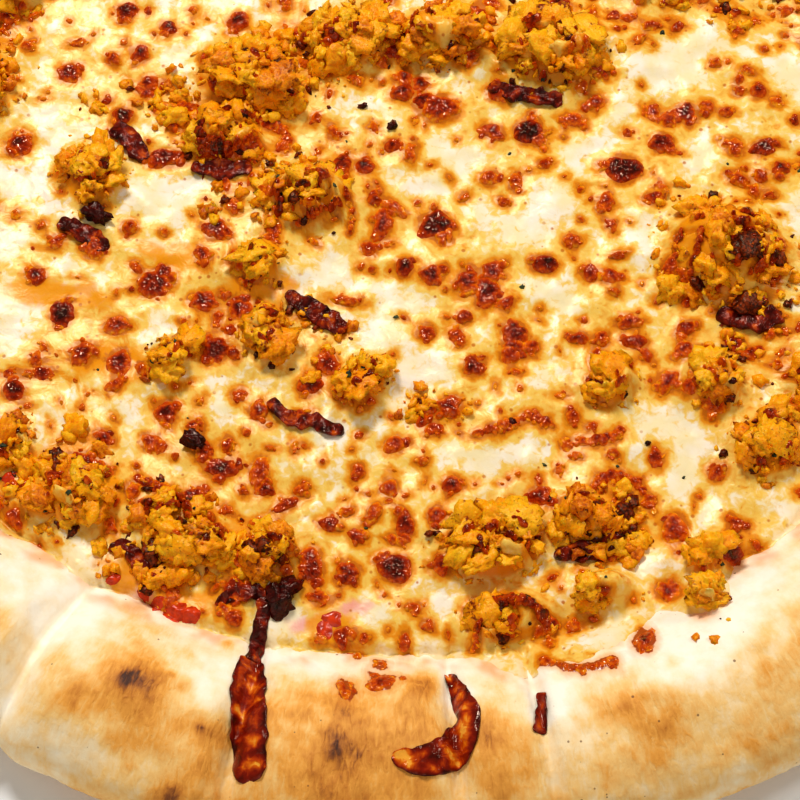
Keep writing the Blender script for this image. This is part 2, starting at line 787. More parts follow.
    def fold_nearness(self, angles: Array, width: float) -> Array:
        """1 in the line of a fold, falling to 0 a few widths beside it.

        Args:
            angles: directions in degrees.
            width: how wide the band is.

        Returns:
            The nearness, weighted by how deep each fold is.
        """
        near = np.zeros(len(angles))
        for at, deepest, _ in self.folds:
            arc = np.radians(np.abs(degrees_apart(angles, at))) * self.crown_radius
            near = np.maximum(near, min(1.0, deepest / 3.0) * bell(arc, width))
        return near

    def read(self, table: str, angles: Array) -> Array:
        """The value of a table at these angles."""
        return np.interp(angles, self.tables["angles"], self.tables[table], period=360.0)

    def bubble_height(self, x: Array, y: Array) -> Array:
        """How much the dough bubbles lift the rim.

        Args:
            x: the points' first coordinates.
            y: their second ones.

        Returns:
            The lift at each point.
        """
        lift = np.zeros(len(x))
        for angle, radius, size, height in self.bubbles:
            at_x, at_y = on_circle(radius, angle)
            lift = np.maximum(lift, height * bell(np.hypot(x - at_x, y - at_y), 0.6 * size))
        return lift

    def height(self, x: Array, y: Array) -> Array:
        """The smooth height of the crust's upper side, out to the equator.

        Args:
            x: the points' first coordinates.
            y: their second ones.

        Returns:
            The height at each point.
        """
        radius, angles = polar(x, y)
        crown, bubble = self.read("crown", angles), self.bubble_height(x, y)
        slope = np.clip((radius - self.floor_radius) / (self.crown_radius - self.floor_radius), 0.0, 1.0)
        ramp = np.sin(0.5 * math.pi * slope)
        inner = self.floor_height + (crown + bubble - self.floor_height) * ramp
        reach = (radius - self.crown_radius) / (self.read("outline", angles) - self.crown_radius)
        fall = np.sqrt(1.0 - np.clip(reach, 0.0, 1.0) ** 2)
        outer = self.equator_height + (crown + bubble - self.equator_height) * fall
        return np.where(radius <= self.crown_radius, inner, outer)


# ---- Chicken heaps: where they lie ----


class Cover(Enum):
    """How much melted cheese lies over a heap of chicken."""

    BARE = -0.55
    PARTLY = -0.12
    MOSTLY = 0.22


HEAP_COUNT = 42
LARGE_CHARRED_BITS = (  # x, y, length
    (-67.5, -32.5, 6.0), (-44.0, -87.0, 5.5), (-25.3, -123.6, 6.5), (-24.2, -121.0, 5.5))
COVERS = {1: Cover.BARE, 2: Cover.BARE, 3: Cover.PARTLY, 4: Cover.BARE, 5: Cover.MOSTLY, 6: Cover.PARTLY,
          7: Cover.PARTLY, 8: Cover.PARTLY, 10: Cover.PARTLY, 12: Cover.MOSTLY, 14: Cover.MOSTLY,
          15: Cover.BARE, 16: Cover.PARTLY, 18: Cover.MOSTLY, 20: Cover.PARTLY, 23: Cover.PARTLY,
          24: Cover.BARE}


@dataclass
class Heap:
    """The place of one heap of chicken: the ellipse that its solid covers, and its base and top."""

    node: str
    cover: Cover
    x: float = 0.0
    y: float = 0.0
    length: float = 0.0
    width: float = 0.0
    turn: float = 0.0
    top: float = 0.0
    level: float = 9.0
    packed: float = 0.82

    def __post_init__(self) -> None:
        """Measure the heap's solid."""
        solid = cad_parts[self.node].data.vertices
        points = np.array([vertex.co for vertex in solid], float) / METRES
        flat = points[:, :2]
        middle = flat.mean(axis=0)
        _, axes = np.linalg.eigh(np.cov((flat - middle).T))
        along = (flat - middle) @ axes[:, 1]
        across = (flat - middle) @ axes[:, 0]
        self.turn = math.atan2(axes[1, 1], axes[0, 1])
        middle = middle + 0.5 * (along.max() + along.min()) * axes[:, 1]
        middle = middle + 0.5 * (across.max() + across.min()) * axes[:, 0]
        self.x, self.y = float(middle[0]), float(middle[1])
        self.length, self.width = 0.5 * float(np.ptp(along)), 0.5 * float(np.ptp(across))
        self.top = float(points[:, 2].max())

    def away(self, x: Array, y: Array) -> Array:
        """How far out in the heap points lie.

        Args:
            x: the points' first coordinates.
            y: their second ones.

        Returns:
            0 in the heap's middle and 1 at its foot.
        """
        cosine, sine = math.cos(self.turn), math.sin(self.turn)
        along = ((x - self.x) * cosine + (y - self.y) * sine) / self.length
        across = ((y - self.y) * cosine - (x - self.x) * sine) / self.width
        return np.hypot(along, across)

    def place(self, along: Array, across: Array) -> tuple[Array, Array]:
        """The x and y of places given as shares of the heap's half length and half width."""
        return swung(self.x, self.y, along * self.length, across * self.width, self.turn)

    def mound(self, x: Array, y: Array) -> Array:
        """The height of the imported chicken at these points, under its loose crumbs."""
        rise = max(1.5, self.top - self.level) * self.packed
        bumps = 1.3 * gradient_noise(np.column_stack((x, y)), 5.0, 121)
        return self.level + (rise + bumps) * np.sqrt(np.clip(1.0 - self.away(x, y) ** 2.6, 0.0, 1.0)) - 0.6

    def covered(self, x: Array, y: Array) -> Array:
        """How much the cheese lies over the chicken at these points, from 0 to 1."""
        flat = np.column_stack((x, y))
        patchy = gradient_noise(flat, 7.0, 61) + 0.4 * gradient_noise(flat, 2.6, 62)
        return ease_between(patchy + self.cover.value, -0.10, 0.16)

    def soaking(self, x: Array, y: Array) -> Array:
        """How deeply the ground between the crumbs is soaked in spice and fat at these points."""
        return (1.0 - self.covered(x, y)) * (1.0 - ease_between(self.away(x, y), 0.85, 1.12))


# ---- Where the cheese browned ----


@dataclass
class Browning:
    """The browned bubbles of the cheese: how deep inside a browned spot each point lies."""

    heaps: list[Heap]
    large_spots: Spots = (  # x, y, length, width
        (9, -4, 9.7, 7.3), (29, -10, 6.9, 6.4), (22, 0, 5.2, 4.5), (8, -34, 8.2, 7.3), (50, -20, 8.2, 7.9),
        (46, -28, 4.7, 4.5), (20, -22, 4.7, 4.1), (26, -23, 3.4, 5.0), (19, -51, 6.0, 9.1),
        (25, -61, 6.0, 6.8), (16, -69, 5.2, 5.4), (32, -44, 6.5, 4.5), (42, -46, 4.3, 4.5),
        (38, -38, 4.3, 4.1), (14, -57, 3.9, 3.6), (7, -47, 5.6, 5.4), (1, -45, 4.3, 5.4),
        (51, -63, 6.0, 3.6), (44, -62, 3.9, 4.1), (1, 4, 4.3, 4.5), (-13, -19, 4.7, 6.8),
        (-4, -34, 4.7, 9.1), (-53, -17, 9.5, 5.0), (-74, -56, 5.6, 7.3), (-62, -59, 6.0, 5.0),
        (-80, -47, 4.7, 5.0), (-54, -49, 8.6, 6.8), (-43, -53, 6.5, 5.4), (-40, -65, 6.5, 5.9),
        (-35, -55, 5.6, 5.4), (-61, -68, 5.6, 6.8), (-69, -66, 5.2, 6.8), (-12, -53, 7.3, 2.7),
        (-28, -36, 3.9, 4.1), (-60, -35, 3.9, 4.1), (-1, -116, 7.3, 7.3), (-19, -114, 5.2, 5.9),
        (-11, -117, 5.6, 4.5), (-38, -93, 7.8, 5.0), (-30, -94, 4.3, 9.1), (-15, -106, 5.2, 3.6),
        (-21, -98, 3.9, 3.2), (11, -97, 4.7, 4.5), (1, -106, 4.3, 6.8), (58, -107, 5.6, 7.7),
        (56, -121, 5.6, 4.5), (36, -129, 3.9, 2.7), (50, -134, 4.3, 6.8), (71, -106, 3.9, 3.6),
        (-38.9, -23.7, 2.2, 4.8), (-33.4, -22.7, 1.9, 4.3), (-37.4, -29.3, 4.3, 3.3),
        (-31.1, -25.7, 2.2, 1.9), (-28, -37.6, 3.4, 3.3), (-21.5, -27.5, 5.2, 2.9), (-10, 3, 4.3, 2.9),
        (-0.7, 10.5, 4.7, 3.8), (-23.7, 15.3, 2.2, 4.8), (-24.1, -2.7, 3, 3.3), (-18.9, -6.9, 2.6, 3.3),
        (-16, -0.6, 1.7, 2.9), (-53.4, -102.1, 3.4, 3.3), (-61, -106.2, 2.6, 4.8),
        (-36.8, -102.8, 2.6, 2.9), (-39.7, -105.3, 1.9, 3.3), (-31, -109.8, 3, 3.3),
        (-18.5, -116.1, 5.2, 7.1), (-23.7, -117, 2.8, 4.3), (-17, -122.5, 5.2, 3.3),
        (-11.4, -118.1, 4.7, 3.3))
    rim_spots: Spots = (
        (-11.2, -145.0, 3.4, 5.7), (-3.9, -137.5, 3.0, 2.6), (-3.9, -143.1, 6.3, 4.8),
        (0.6, -142.1, 1.7, 1.7), (-7.5, -131.6, 2.6, 2.4), (-8.9, -135.0, 2.4, 2.4),
        (-16.2, -131.7, 2.6, 2.4), (-12.0, -131.1, 3.9, 5.2), (5.8, -129.0, 3.0, 2.4),
        (1.0, -132.3, 2.6, 4.8), (10.0, -130.9, 1.1, 2.1))
    ridges: Spots = (  # half width, then x and y of each point
        (1.2, 16.6, -85, 22.6, -83.6, 27.6, -81.2, 31.9, -82.4),
        (1.3, 29.4, -137.3, 36.7, -140.6, 43.5, -139.1),
        (1.4, 15.3, -125.7, 21.2, -124, 27.6, -125.7, 31.6, -129),
        (0.9, 61.8, -51.4, 65, -43.2, 65.7, -39.5), (1.2, 39.4, -86.9, 43.7, -86.2, 47.4, -84.3),
        (1.3, 40.4, -98.7, 45.4, -94.5, 50.2, -96.2, 53.1, -101.4),
        (1.9, -73.9, -96.2, -68.8, -91.5, -62.5, -94.5), (1.3, -55.5, -95.7, -46.9, -99.8, -41.4, -98),
        (1.6, -44.7, -83.1, -41.7, -90.4),
        (1.5, -49.6, -3.3, -43.9, -5.4, -37.1, -4.6, -32.4, -6.7, -28.5, -8.7),
        (1.6, -45.6, -8.7, -44.7, -15.7, -40.0, -17.0, -34.4, -17.3, -32.2, -14.4),
        (1.2, -28.5, -8.7, -25.5, -11.3, -26.8, -14.4), (0.8, -12.0, -27.5, -10.6, -31.8, -10.8, -36.3),
        (0.8, -22.3, -34.6, -17.4, -32.5, -13.5, -30.5), (1.3, -13.6, -19.3, -11.8, -23.2),
        (1.2, -55.8, -95.9, -52.1, -97.0, -48.3, -99.1, -46.3, -100.5, -42.2, -98.4),
        (1.2, -38.1, -107.8, -35.8, -109.3, -34.3, -110.9),
        (1.1, -31.0, -105.7, -27.3, -106.4, -25.1, -107.3), (0.8, -25.1, -111.4, -21.3, -113.4),
        (0.7, -36.4, -116.1, -34.2, -113.8, -31.7, -115.0, -26.9, -114.5),
        (1.2, -48.0, -124.1, -47.5, -121.0), (1.3, -36.6, -125.0, -34.3, -127.6),
        (0.9, 15.4, -134.0, 16.1, -130.3, 18.6, -126.5, 22.8, -124.8, 26.9, -125.9, 29.9, -129.2, 31.0,
         -133.5))
    seen_width: float = 90.0
    seen_depth: float = 24.0
    limit_radius: float = 134.0
    small_spots: int = 980
    lobed_half: float = 1.25
    hidden_large_spots: int = 110
    heap_area_per_spot: float = 19.0
    cluster_size: float = 17.0
    lump_grain: float = 2.3
    deepest: float = 3.2
    hidden_sizes: tuple[float, float] = (2.0, 4.4)
    hidden_spacing: float = 7.5
    small_sizes: tuple[float, float] = (0.6, 3.2)
    small_spacing: float = 2.9
    seed: int = 19
    spots: Array = field(init=False)

    def __post_init__(self) -> None:
        """Place every spot: the named ones, and a seeded, clustered spread of the rest."""
        rng = np.random.default_rng(self.seed)
        named = np.array(self.large_spots + self.rim_spots, float)
        turns = rng.uniform(-0.3, 0.3, len(named))
        rows = [np.column_stack((named[:, :2], 0.5 * named[:, 2:], turns))]
        lobes = []
        for half_width, *line in self.ridges:
            path = smooth_line(list(zip(line[::2], line[1::2])), 6)
            for x, y in path:
                half = half_width * rng.uniform(0.75, 1.25)
                lobes.append((x + rng.uniform(-0.3, 0.3), y + rng.uniform(-0.3, 0.3), half, half, 0.0))
        rows.append(np.array(lobes))
        rows.append(self.round_heaps(rng))
        rows.append(self.spread(rng, self.hidden_large_spots, self.hidden_sizes, self.hidden_spacing,
                                hidden=True, taken=rows[0]))
        rows.append(self.spread(rng, self.small_spots, self.small_sizes, self.small_spacing,
                                hidden=False, taken=np.vstack(rows)))
        rows.append(self.lobes(rng, np.vstack(rows)))
        self.spots = np.vstack(rows)

    def lobes(self, rng: np.random.Generator, spots: Array) -> Array:
        """Smaller spots that run into the larger ones and make their outlines uneven.

        Args:
            rng: the seeded source of chance.
            spots: the spots that are there already.

        Returns:
            Rows of x, y, half length, half width and turn.
        """
        made = []
        for x, y, length, width, turn in spots[spots[:, 2] > self.lobed_half]:
            for _ in range(rng.integers(1, 4)):
                way, half = rng.uniform(0.0, math.tau), min(length, width) * rng.uniform(0.35, 0.75)
                place = swung(x, y, 0.95 * length * math.cos(way), 0.95 * width * math.sin(way), turn)
                made.append((*place, half, half * rng.uniform(0.5, 1.0), rng.uniform(0.0, math.pi)))
        return np.array(made)

    def round_heaps(self, rng: np.random.Generator) -> Array:
        """Spots where the cheese stands up against the heaps of chicken and catches the most heat.

        Args:
            rng: the seeded source of chance.

        Returns:
            Rows of x, y, half length, half width and turn.
        """
        made = []
        for heap in self.heaps:
            for _ in range(round(math.pi * heap.length * heap.width / self.heap_area_per_spot)):
                out, turn = rng.uniform(0.25, 1.3), rng.uniform(0.0, math.tau)
                x, y = heap.place(out * math.cos(turn), out * math.sin(turn))
                half = 0.8 + 1.9 * rng.random() ** 2
                if math.hypot(x, y) < self.limit_radius:
                    made.append((x, y, half, half * rng.uniform(0.4, 0.9), turn + 0.5 * math.pi + heap.turn))
        return np.array(made)

    def spread(self, rng: np.random.Generator, count: int, sizes: tuple[float, float], spacing: float,
               hidden: bool, taken: Array) -> Array:
        """Scatter spots in clusters.

        Args:
            rng: the seeded source of chance.
            count: how many.
            sizes: the smallest and largest half length.
            spacing: the least distance between two middles.
            hidden: whether to keep to what the front view doesn't show.
            taken: the spots that are there already.

        Returns:
            Rows of x, y, half length, half width and turn.
        """
        places = [tuple(row[:3]) for row in taken]
        made = []
        while len(made) < count:
            tries = rng.uniform(-self.limit_radius, self.limit_radius, (4000, 2))
            clustered = gradient_noise(tries, self.cluster_size, 41) + 0.5 * gradient_noise(tries, 6.0, 43)
            keep = (np.hypot(tries[:, 0], tries[:, 1]) < self.limit_radius) & (
                clustered > rng.uniform(-0.55, 0.35, len(tries)))
            if hidden:
                keep &= (np.abs(tries[:, 0]) > self.seen_width) | (tries[:, 1] > self.seen_depth)
            for x, y in tries[keep]:
                share = rng.random() ** 1.7
                half = sizes[0] + (sizes[1] - sizes[0]) * share
                near = np.array(places)
                gap = np.maximum(spacing * 0.6, 0.75 * (near[:, 2] + half))
                if (np.hypot(near[:, 0] - x, near[:, 1] - y) > gap).all():
                    places.append((x, y, half))
                    made.append((x, y, half, half * rng.uniform(0.5, 1.0), rng.uniform(0.0, math.pi)))
                    if len(made) == count:
                        break
        return np.array(made)

    def lies_on_heap(self) -> Array:
        """Which of the spots lie on a heap of chicken."""
        x, y = self.spots[:, 0], self.spots[:, 1]
        return np.min([heap.away(x, y) for heap in self.heaps], axis=0) < 0.95

    def read(self, x: Array, y: Array) -> tuple[Array, Array]:
        """How browned each point is.

        Args:
            x: the points' first coordinates.
            y: their second ones.

        Returns:
            How far inside a spot's edge each point lies, less than nothing outside, and how oily it is.
        """
        flat = np.column_stack((x, y))
        lumps = 0.34 * gradient_noise(flat, self.lump_grain, 3) + 0.22 * gradient_noise(flat, 1.1, 5)
        depth, dry = np.full(len(x), -self.deepest), np.ones(len(x))
        order = np.argsort(x)
        along = x[order]
        for at_x, at_y, length, width, turn in self.spots:
            reach = length + self.deepest + 2.5
            window = order[np.searchsorted(along, at_x - reach):np.searchsorted(along, at_x + reach)]
            window = window[np.abs(y[window] - at_y) < reach]
            over, up = x[window] - at_x, y[window] - at_y
            cosine, sine = math.cos(turn), math.sin(turn)
            away = np.hypot((over * cosine + up * sine) / length, (up * cosine - over * sine) / width)
            thin = min(length, width)
            inside = (1.0 - away) * thin + lumps[window] * min(1.5, 0.5 + thin)
            depth[window] = np.maximum(depth[window], inside)
            strong = min(0.66, 0.26 + 0.28 * thin)
            dry[window] *= 1.0 - strong * bell(np.maximum(-inside, 0.0), 1.2 + 0.8 * thin)
        return depth, 1.0 - dry


@dataclass
class Bubbles:
    """Low glossy lumps with lobed outlines, each a small dome of its own that lies on the ground.

    A lump's grid is the first whose least length it has, given with its points round and its rings.
    """

    name: str
    slot: str
    spots: Array
    seed: int
    grids: tuple[tuple[float, int, int], ...] = ((2.8, 28, 5), (1.3, 16, 3), (0.0, 10, 3))
    back_grids: tuple[tuple[float, int, int], ...] = ((2.8, 20, 4), (1.3, 12, 3), (0.0, 8, 2))
    seen: tuple[float, float] = (95.0, 26.0)
    lobes: tuple[tuple[int, float], ...] = ((2, 0.16), (3, 0.20), (5, 0.13), (8, 0.07))
    lumps: tuple[tuple[float, float], ...] = ((1.7, 0.55), (0.9, 0.3))
    sunk: float = 0.22
    raised: float = 0.0
    tallest: float = 1.0
    charred: float = 0.02

    def outline(self, rng: np.random.Generator, ways: Array) -> Array:
        """An uneven, lobed outline.

        Args:
            rng: the seeded source of chance.
            ways: the directions of its points, in radians.

        Returns:
            How far out each point lies, about 1.
        """
        reach = np.ones(len(ways))
        for waves, most in self.lobes:
            if waves * 2 < len(ways):
                reach += most * rng.uniform(-1.0, 1.0) * np.sin(waves * ways + rng.uniform(0.0, math.tau))
        return reach

    def build(self, ground: Ground, finish: bpy.types.Material) -> bpy.types.Object:
        """Make every lump, as one piece.

        Args:
            ground: gives the height of what they lie on.
            finish: their material.

        Returns:
            The piece.
        """
        rng = np.random.default_rng(self.seed)
        pile = Pile()
        for x, y, length, width, turn in self.spots:
            grids = self.grids if abs(x) < self.seen[0] and y < self.seen[1] else self.back_grids
            sides, rings = next(grid[1:] for grid in grids if length >= grid[0])
            ways = np.linspace(0.0, math.tau, sides, endpoint=False)
            outline = self.outline(rng, ways)
            share = np.concatenate(([0.0], np.repeat(np.arange(1, rings + 1) / rings, sides)))
            along, across = (share * np.concatenate(([0.0], np.tile(outline * way, rings))) * half
                             for way, half in ((np.cos(ways), length), (np.sin(ways), width)))
            thin = min(length, width)
            pile.add(np.column_stack(swung(x, y, along, across, turn)), disc_faces(sides, rings), share=share,
                     depth=(1.0 - share) * thin,
                     char=np.clip(rng.normal(self.charred + 0.05 * thin, 0.11), 0.0, 0.5),
                     rise=min(self.tallest, 0.26 + 0.34 * thin) * rng.uniform(0.8, 1.2))
        flat, faces, values = pile.gathered()
        share = values["share"]
        lumps = 1.0 + sum(strength * gradient_noise(flat, size, self.seed + number)
                          for number, (size, strength) in enumerate(self.lumps))
        lift = self.raised + values["rise"] * (1.0 - share ** 3.0) ** 0.6 * lumps - self.sunk * share ** 4
        points = np.column_stack((flat, ground(flat[:, 0], flat[:, 1]) + lift))
        fields = {name: values[name] for name in ("depth", "char")}
        piece = add_piece(self.name, points, (faces,), finish, fields)
        return piece


# ---- The crust ----


@dataclass
class Crust:
    """The crust: the rim's form with creases, blisters and fine wrinkles, toasted on its crown and below.

    Its upper side goes as far along the section as upper_length, and upper_face is one of its faces there.
    """

    rim: RimShape
    browning: Browning
    inner_radius: float = 126.0
    front_columns: int = 540
    back_columns: int = 260
    front_span: tuple[float, float] = (-152.0, -28.0)
    slope_rows: int = 42
    outer_rows: int = 28
    under_rows: int = 8
    bottom_radii: tuple[float, ...] = (158.0, 140.0, 100.0, 50.0, 6.0)
    widest: float = 177.4
    highest: float = 22.2
    upper_length: float = 60.0
    upper_face: int = 60
    toasted: Spots = (  # x, y, size, strength
        (-53.6, -143.4, 5.6, 0.24), (-50.7, -139.0, 7.0, 0.22), (-56.6, -129.0, 4.5, 0.28),
        (-43.6, -145.2, 1.5, 0.34), (-40.1, -154.2, 1.2, 0.34), (-35.6, -132.8, 1.3, 0.32),
        (-46.0, -142.5, 1.0, 0.3), (-35.0, -156.0, 3.0, 0.22), (32.3, -148.0, 7.0, -0.24),
        (56.8, -141.6, 11.0, -0.34), (46.0, -147.0, 7.0, 0.10),
        (-14.0, -159.0, 11.0, 0.26), (-24.0, -151.0, 7.0, 0.24), (-10.0, -150.0, 7.0, 0.20),
        (6.1, -143.0, 3.6, 0.38), (40.2, -149.5, 6.0, 0.14), (38.0, -158.0, 14.0, -0.16),
        (-3.9, -142.0, 6.0, 0.10), (-70.0, -130.0, 13.0, -0.2),
        (-39.0, -145.0, 6.0, -0.2), (62.0, -128.0, 12.0, -0.18),
        (-19.0, -140.0, 8.0, -0.12), (13.0, -146.0, 3.6, -0.2), (-1.5, -147.0, 3.2, -0.12))

    def columns(self) -> Array:
        """The directions of the columns, closer together at the front."""
        start, end = self.front_span
        front = np.linspace(start, end, self.front_columns, endpoint=False)
        return np.concatenate((front, np.linspace(end, start + 360.0, self.back_columns, endpoint=False)))

    def section(self, angles: Array) -> tuple[Array, Array, Array]:
        """The rim's smooth form.

        Args:
            angles: the columns' directions in degrees.

        Returns:
            The points of every column, their distances along the section and their directions.
        """
        rim = self.rim
        crown, widest = rim.read("crown", angles), rim.read("outline", angles)
        radii, heights = [], []
        for radius in (self.inner_radius, 0.5 * (self.inner_radius + rim.floor_radius)):
            radii.append(np.full(len(angles), radius))
            heights.append(np.full(len(angles), rim.floor_height))
        for step in range(self.slope_rows + 1):
            share = step / self.slope_rows
            radius = np.full(len(angles), rim.floor_radius + (rim.crown_radius - rim.floor_radius) * share)
            radii.append(radius)
            heights.append(rim.height(*on_circle(radius, angles)))
        for step in range(1, self.outer_rows + 1):
            turn = 0.5 * math.pi * step / self.outer_rows
            radius = rim.crown_radius + (widest - rim.crown_radius) * math.sin(turn)
            top = crown + rim.bubble_height(*on_circle(radius, angles))
            radii.append(radius)
            heights.append(rim.equator_height + (top - rim.equator_height) * math.cos(turn))
        for step in range(1, self.under_rows + 1):
            turn = 0.5 * math.pi * step / self.under_rows
            radii.append(rim.base_radius + (widest - rim.base_radius) * math.cos(turn))
            heights.append(np.full(len(angles), rim.equator_height * (1.0 - math.sin(turn))))
        for radius in self.bottom_radii:
            radii.append(np.full(len(angles), radius))
            heights.append(np.zeros(len(angles)))
        radius, height = np.stack(radii, axis=1), np.stack(heights, axis=1)
        points = np.stack((*on_circle(radius, angles[:, None]), height), axis=-1)
        steps = np.hypot(np.diff(radius, axis=1), np.diff(height, axis=1))
        along = np.concatenate((np.zeros((len(angles), 1)), np.cumsum(steps, axis=1)), axis=1)
        return points, along, np.broadcast_to(angles[:, None], along.shape)

    def build(self, finish: bpy.types.Material) -> bpy.types.Object:
        """Make the crust.

        Args:
            finish: its material.

        Returns:
            The piece.
        """
        grid, along, direction = self.section(self.columns())
        columns, rows, _ = grid.shape
        smooth = grid.reshape(-1, 3)
        along, direction = along.ravel(), direction.ravel()
        normals = self.normals(grid)
        points = smooth + normals * self.push(smooth, along, direction)[:, None]
        radius = np.hypot(points[:, 0], points[:, 1])
        shrink = np.minimum(1.0, self.rim.read("outline", direction) / np.maximum(radius, 1e-6))
        points[:, :2] *= shrink[:, None]
        points = np.clip(points, (-self.widest, -self.widest, 0.0), (self.widest, self.widest, self.highest))
        points[smooth[:, 2] <= 0.0, 2] = 0.0
        depth, _ = self.browning.read(points[:, 0], points[:, 1])
        depth[along > self.upper_length] = UNBROWNED
        raised = 0.5 * np.sqrt(np.clip(depth, 0.0, 2.0)) * ease_between(depth, 0.0, 0.4)
        points[:, 2] += raised * (along < self.upper_length)
        fields = {"toast": self.toast(smooth, along, direction), "stain": self.stain(points, direction),
                  "browning": depth, "skin": self.skin(along, direction) * METRES}
        quads = grid_faces(columns, rows, closed=True)
        caps = [np.arange(columns)[None, :] * rows, np.arange(columns)[None, ::-1] * rows + rows - 1]
        if faces_up(points, quads[self.upper_face]):
            caps = [cap[:, ::-1] for cap in caps]
        else:
            quads = quads[:, ::-1]
        piece = add_piece("crust_form", points, (quads, *caps), finish, fields)
        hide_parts("crust")
        return piece

    def normals(self, grid: Array) -> Array:
        """The outward normal of each of the section's points, row after row.

        Args:
            grid: the points, column by column.

        Returns:
            The normals, one to a row.
        """
        smooth = grid.reshape(-1, 3)
        normals = np.cross(np.roll(grid, -1, axis=0) - np.roll(grid, 1, axis=0), np.gradient(grid, axis=1))
        normals /= np.maximum(np.linalg.norm(normals, axis=-1, keepdims=True), 1e-9)
        normals = normals.reshape(-1, 3)
        ring = smooth * np.array((1.0, 1.0, 0.0))
        ring = ring / np.maximum(np.linalg.norm(ring, axis=1, keepdims=True), 1e-9) * self.rim.crown_radius
        core = ring + np.array((0.0, 0.0, self.rim.equator_height))
        normals[np.einsum("ij,ij->i", normals, smooth - core) < 0.0] *= -1.0
        return normals

    def skin(self, along: Array, direction: Array) -> Array:
        """Places on the rim's skin, unrolled: how far round the rim and how far along its section."""
        arc = np.radians(direction) * self.rim.crown_radius
        return np.column_stack((arc, along, np.zeros(len(arc))))

    def push(self, smooth: Array, along: Array, direction: Array) -> Array:
        """How far the real skin stands off the smooth form: lumps, wrinkles, fine blisters and creases.

        Args:
            smooth: places on the smooth form.
            along: their distances along the section.
            direction: their directions in degrees.

        Returns:
            The distance outward of each place.
        """
        rise = ease_between(along, 6.0, 22.0)
        wrinkled = ease_between(layered_noise(smooth, 26.0, 91), -0.25, 0.5) * rise
        pulled = np.abs(gradient_noise(self.skin(along, direction) * np.array((1.0, 0.22, 1.0)), 2.3, 92))
        push = 0.6 * gradient_noise(smooth, 17.0, 93) + 0.4 * gradient_noise(smooth, 7.5, 94)
        push += 0.12 * gradient_noise(smooth, 2.8, 95) + 0.05 * gradient_noise(smooth, 1.3, 96)
        push -= 0.6 * wrinkled * (0.5 - pulled) + 1.7 * self.rim.fold_nearness(direction, 0.9) * rise + 0.45
        return push * ease_between(smooth[:, 2], 0.2, 3.0)

    def height(self, x: Array, y: Array) -> Array:
        """The height of the crust's upper side, with its lumps and wrinkles, out to the equator.

        Args:
            x: the points' first coordinates.
            y: their second ones.

        Returns:
            The height at each point.
        """
        rim, step = self.rim, 0.5
        radius, direction = polar(x, y)
        level = rim.height(x, y)
        further = rim.height(x * (1.0 + step / radius), y * (1.0 + step / radius))
        tilt = np.hypot(1.0, np.clip((further - level) / step, -1.5, 1.5))
        grid, along, _ = self.section(np.array((-90.0,)))
        top = slice(0, self.slope_rows + self.outer_rows)
        distance = np.interp(radius, np.hypot(grid[0, top, 0], grid[0, top, 1]), along[0, top])
        return level + tilt * self.push(np.column_stack((x, y, level)), distance, direction)

    def toast(self, points: Array, along: Array, direction: Array) -> Array:
        """How toasted the dough is, from 0 for raw to 1 for charred.

        Args:
            points: places on the smooth form.
            along: their distances along the section.
            direction: their directions in degrees.

        Returns:
            The toasting of each place.
        """
        flat = points[:, :2]
        amount = 0.13 + 0.27 * bell(along - 40.0, 15.0) + 0.20 * ease_between(along, 42.0, 62.0)
        amount += 0.24 * layered_noise(points, 24.0, 101) * ease_between(along, 8.0, 30.0)
        amount += 0.10 * layered_noise(points, 6.0, 102)
        amount += 0.13 * self.rim.bubble_height(points[:, 0], points[:, 1])
        amount -= 0.22 * self.rim.fold_nearness(direction, 3.2)
        for x, y, size, strength in self.toasted:
            away = np.hypot(points[:, 0] - x, points[:, 1] - y)
            amount += strength * bell(away, size) * (1.0 + 0.5 * gradient_noise(flat, 3.5, 103))
        leopard = ease_between(layered_noise(points, 15.0, 104), 0.5, 1.1)
        amount += 0.26 * leopard * ease_between(along, 30.0, 46.0)
        below = points[:, 2] < 1.5
        baked = 0.50 + 0.30 * layered_noise(points, 22.0, 105) + 0.16 * layered_noise(points, 6.0, 106)
        return np.clip(np.where(below, baked, amount), 0.02, 1.0)

    def stain(self, points: Array, direction: Array) -> Array:
        """How much orange fat the dough drank beside the cheese."""
        beyond = np.hypot(points[:, 0], points[:, 1]) - self.rim.read("cheese", direction)
        patchy = ease_between(layered_noise(points[:, :2], 7.0, 107), -0.35, 0.6)
        return 0.62 * bell(np.maximum(beyond, 0.0), 2.6) * patchy * (points[:, 2] > 5.0)


# ---- The cheese ----


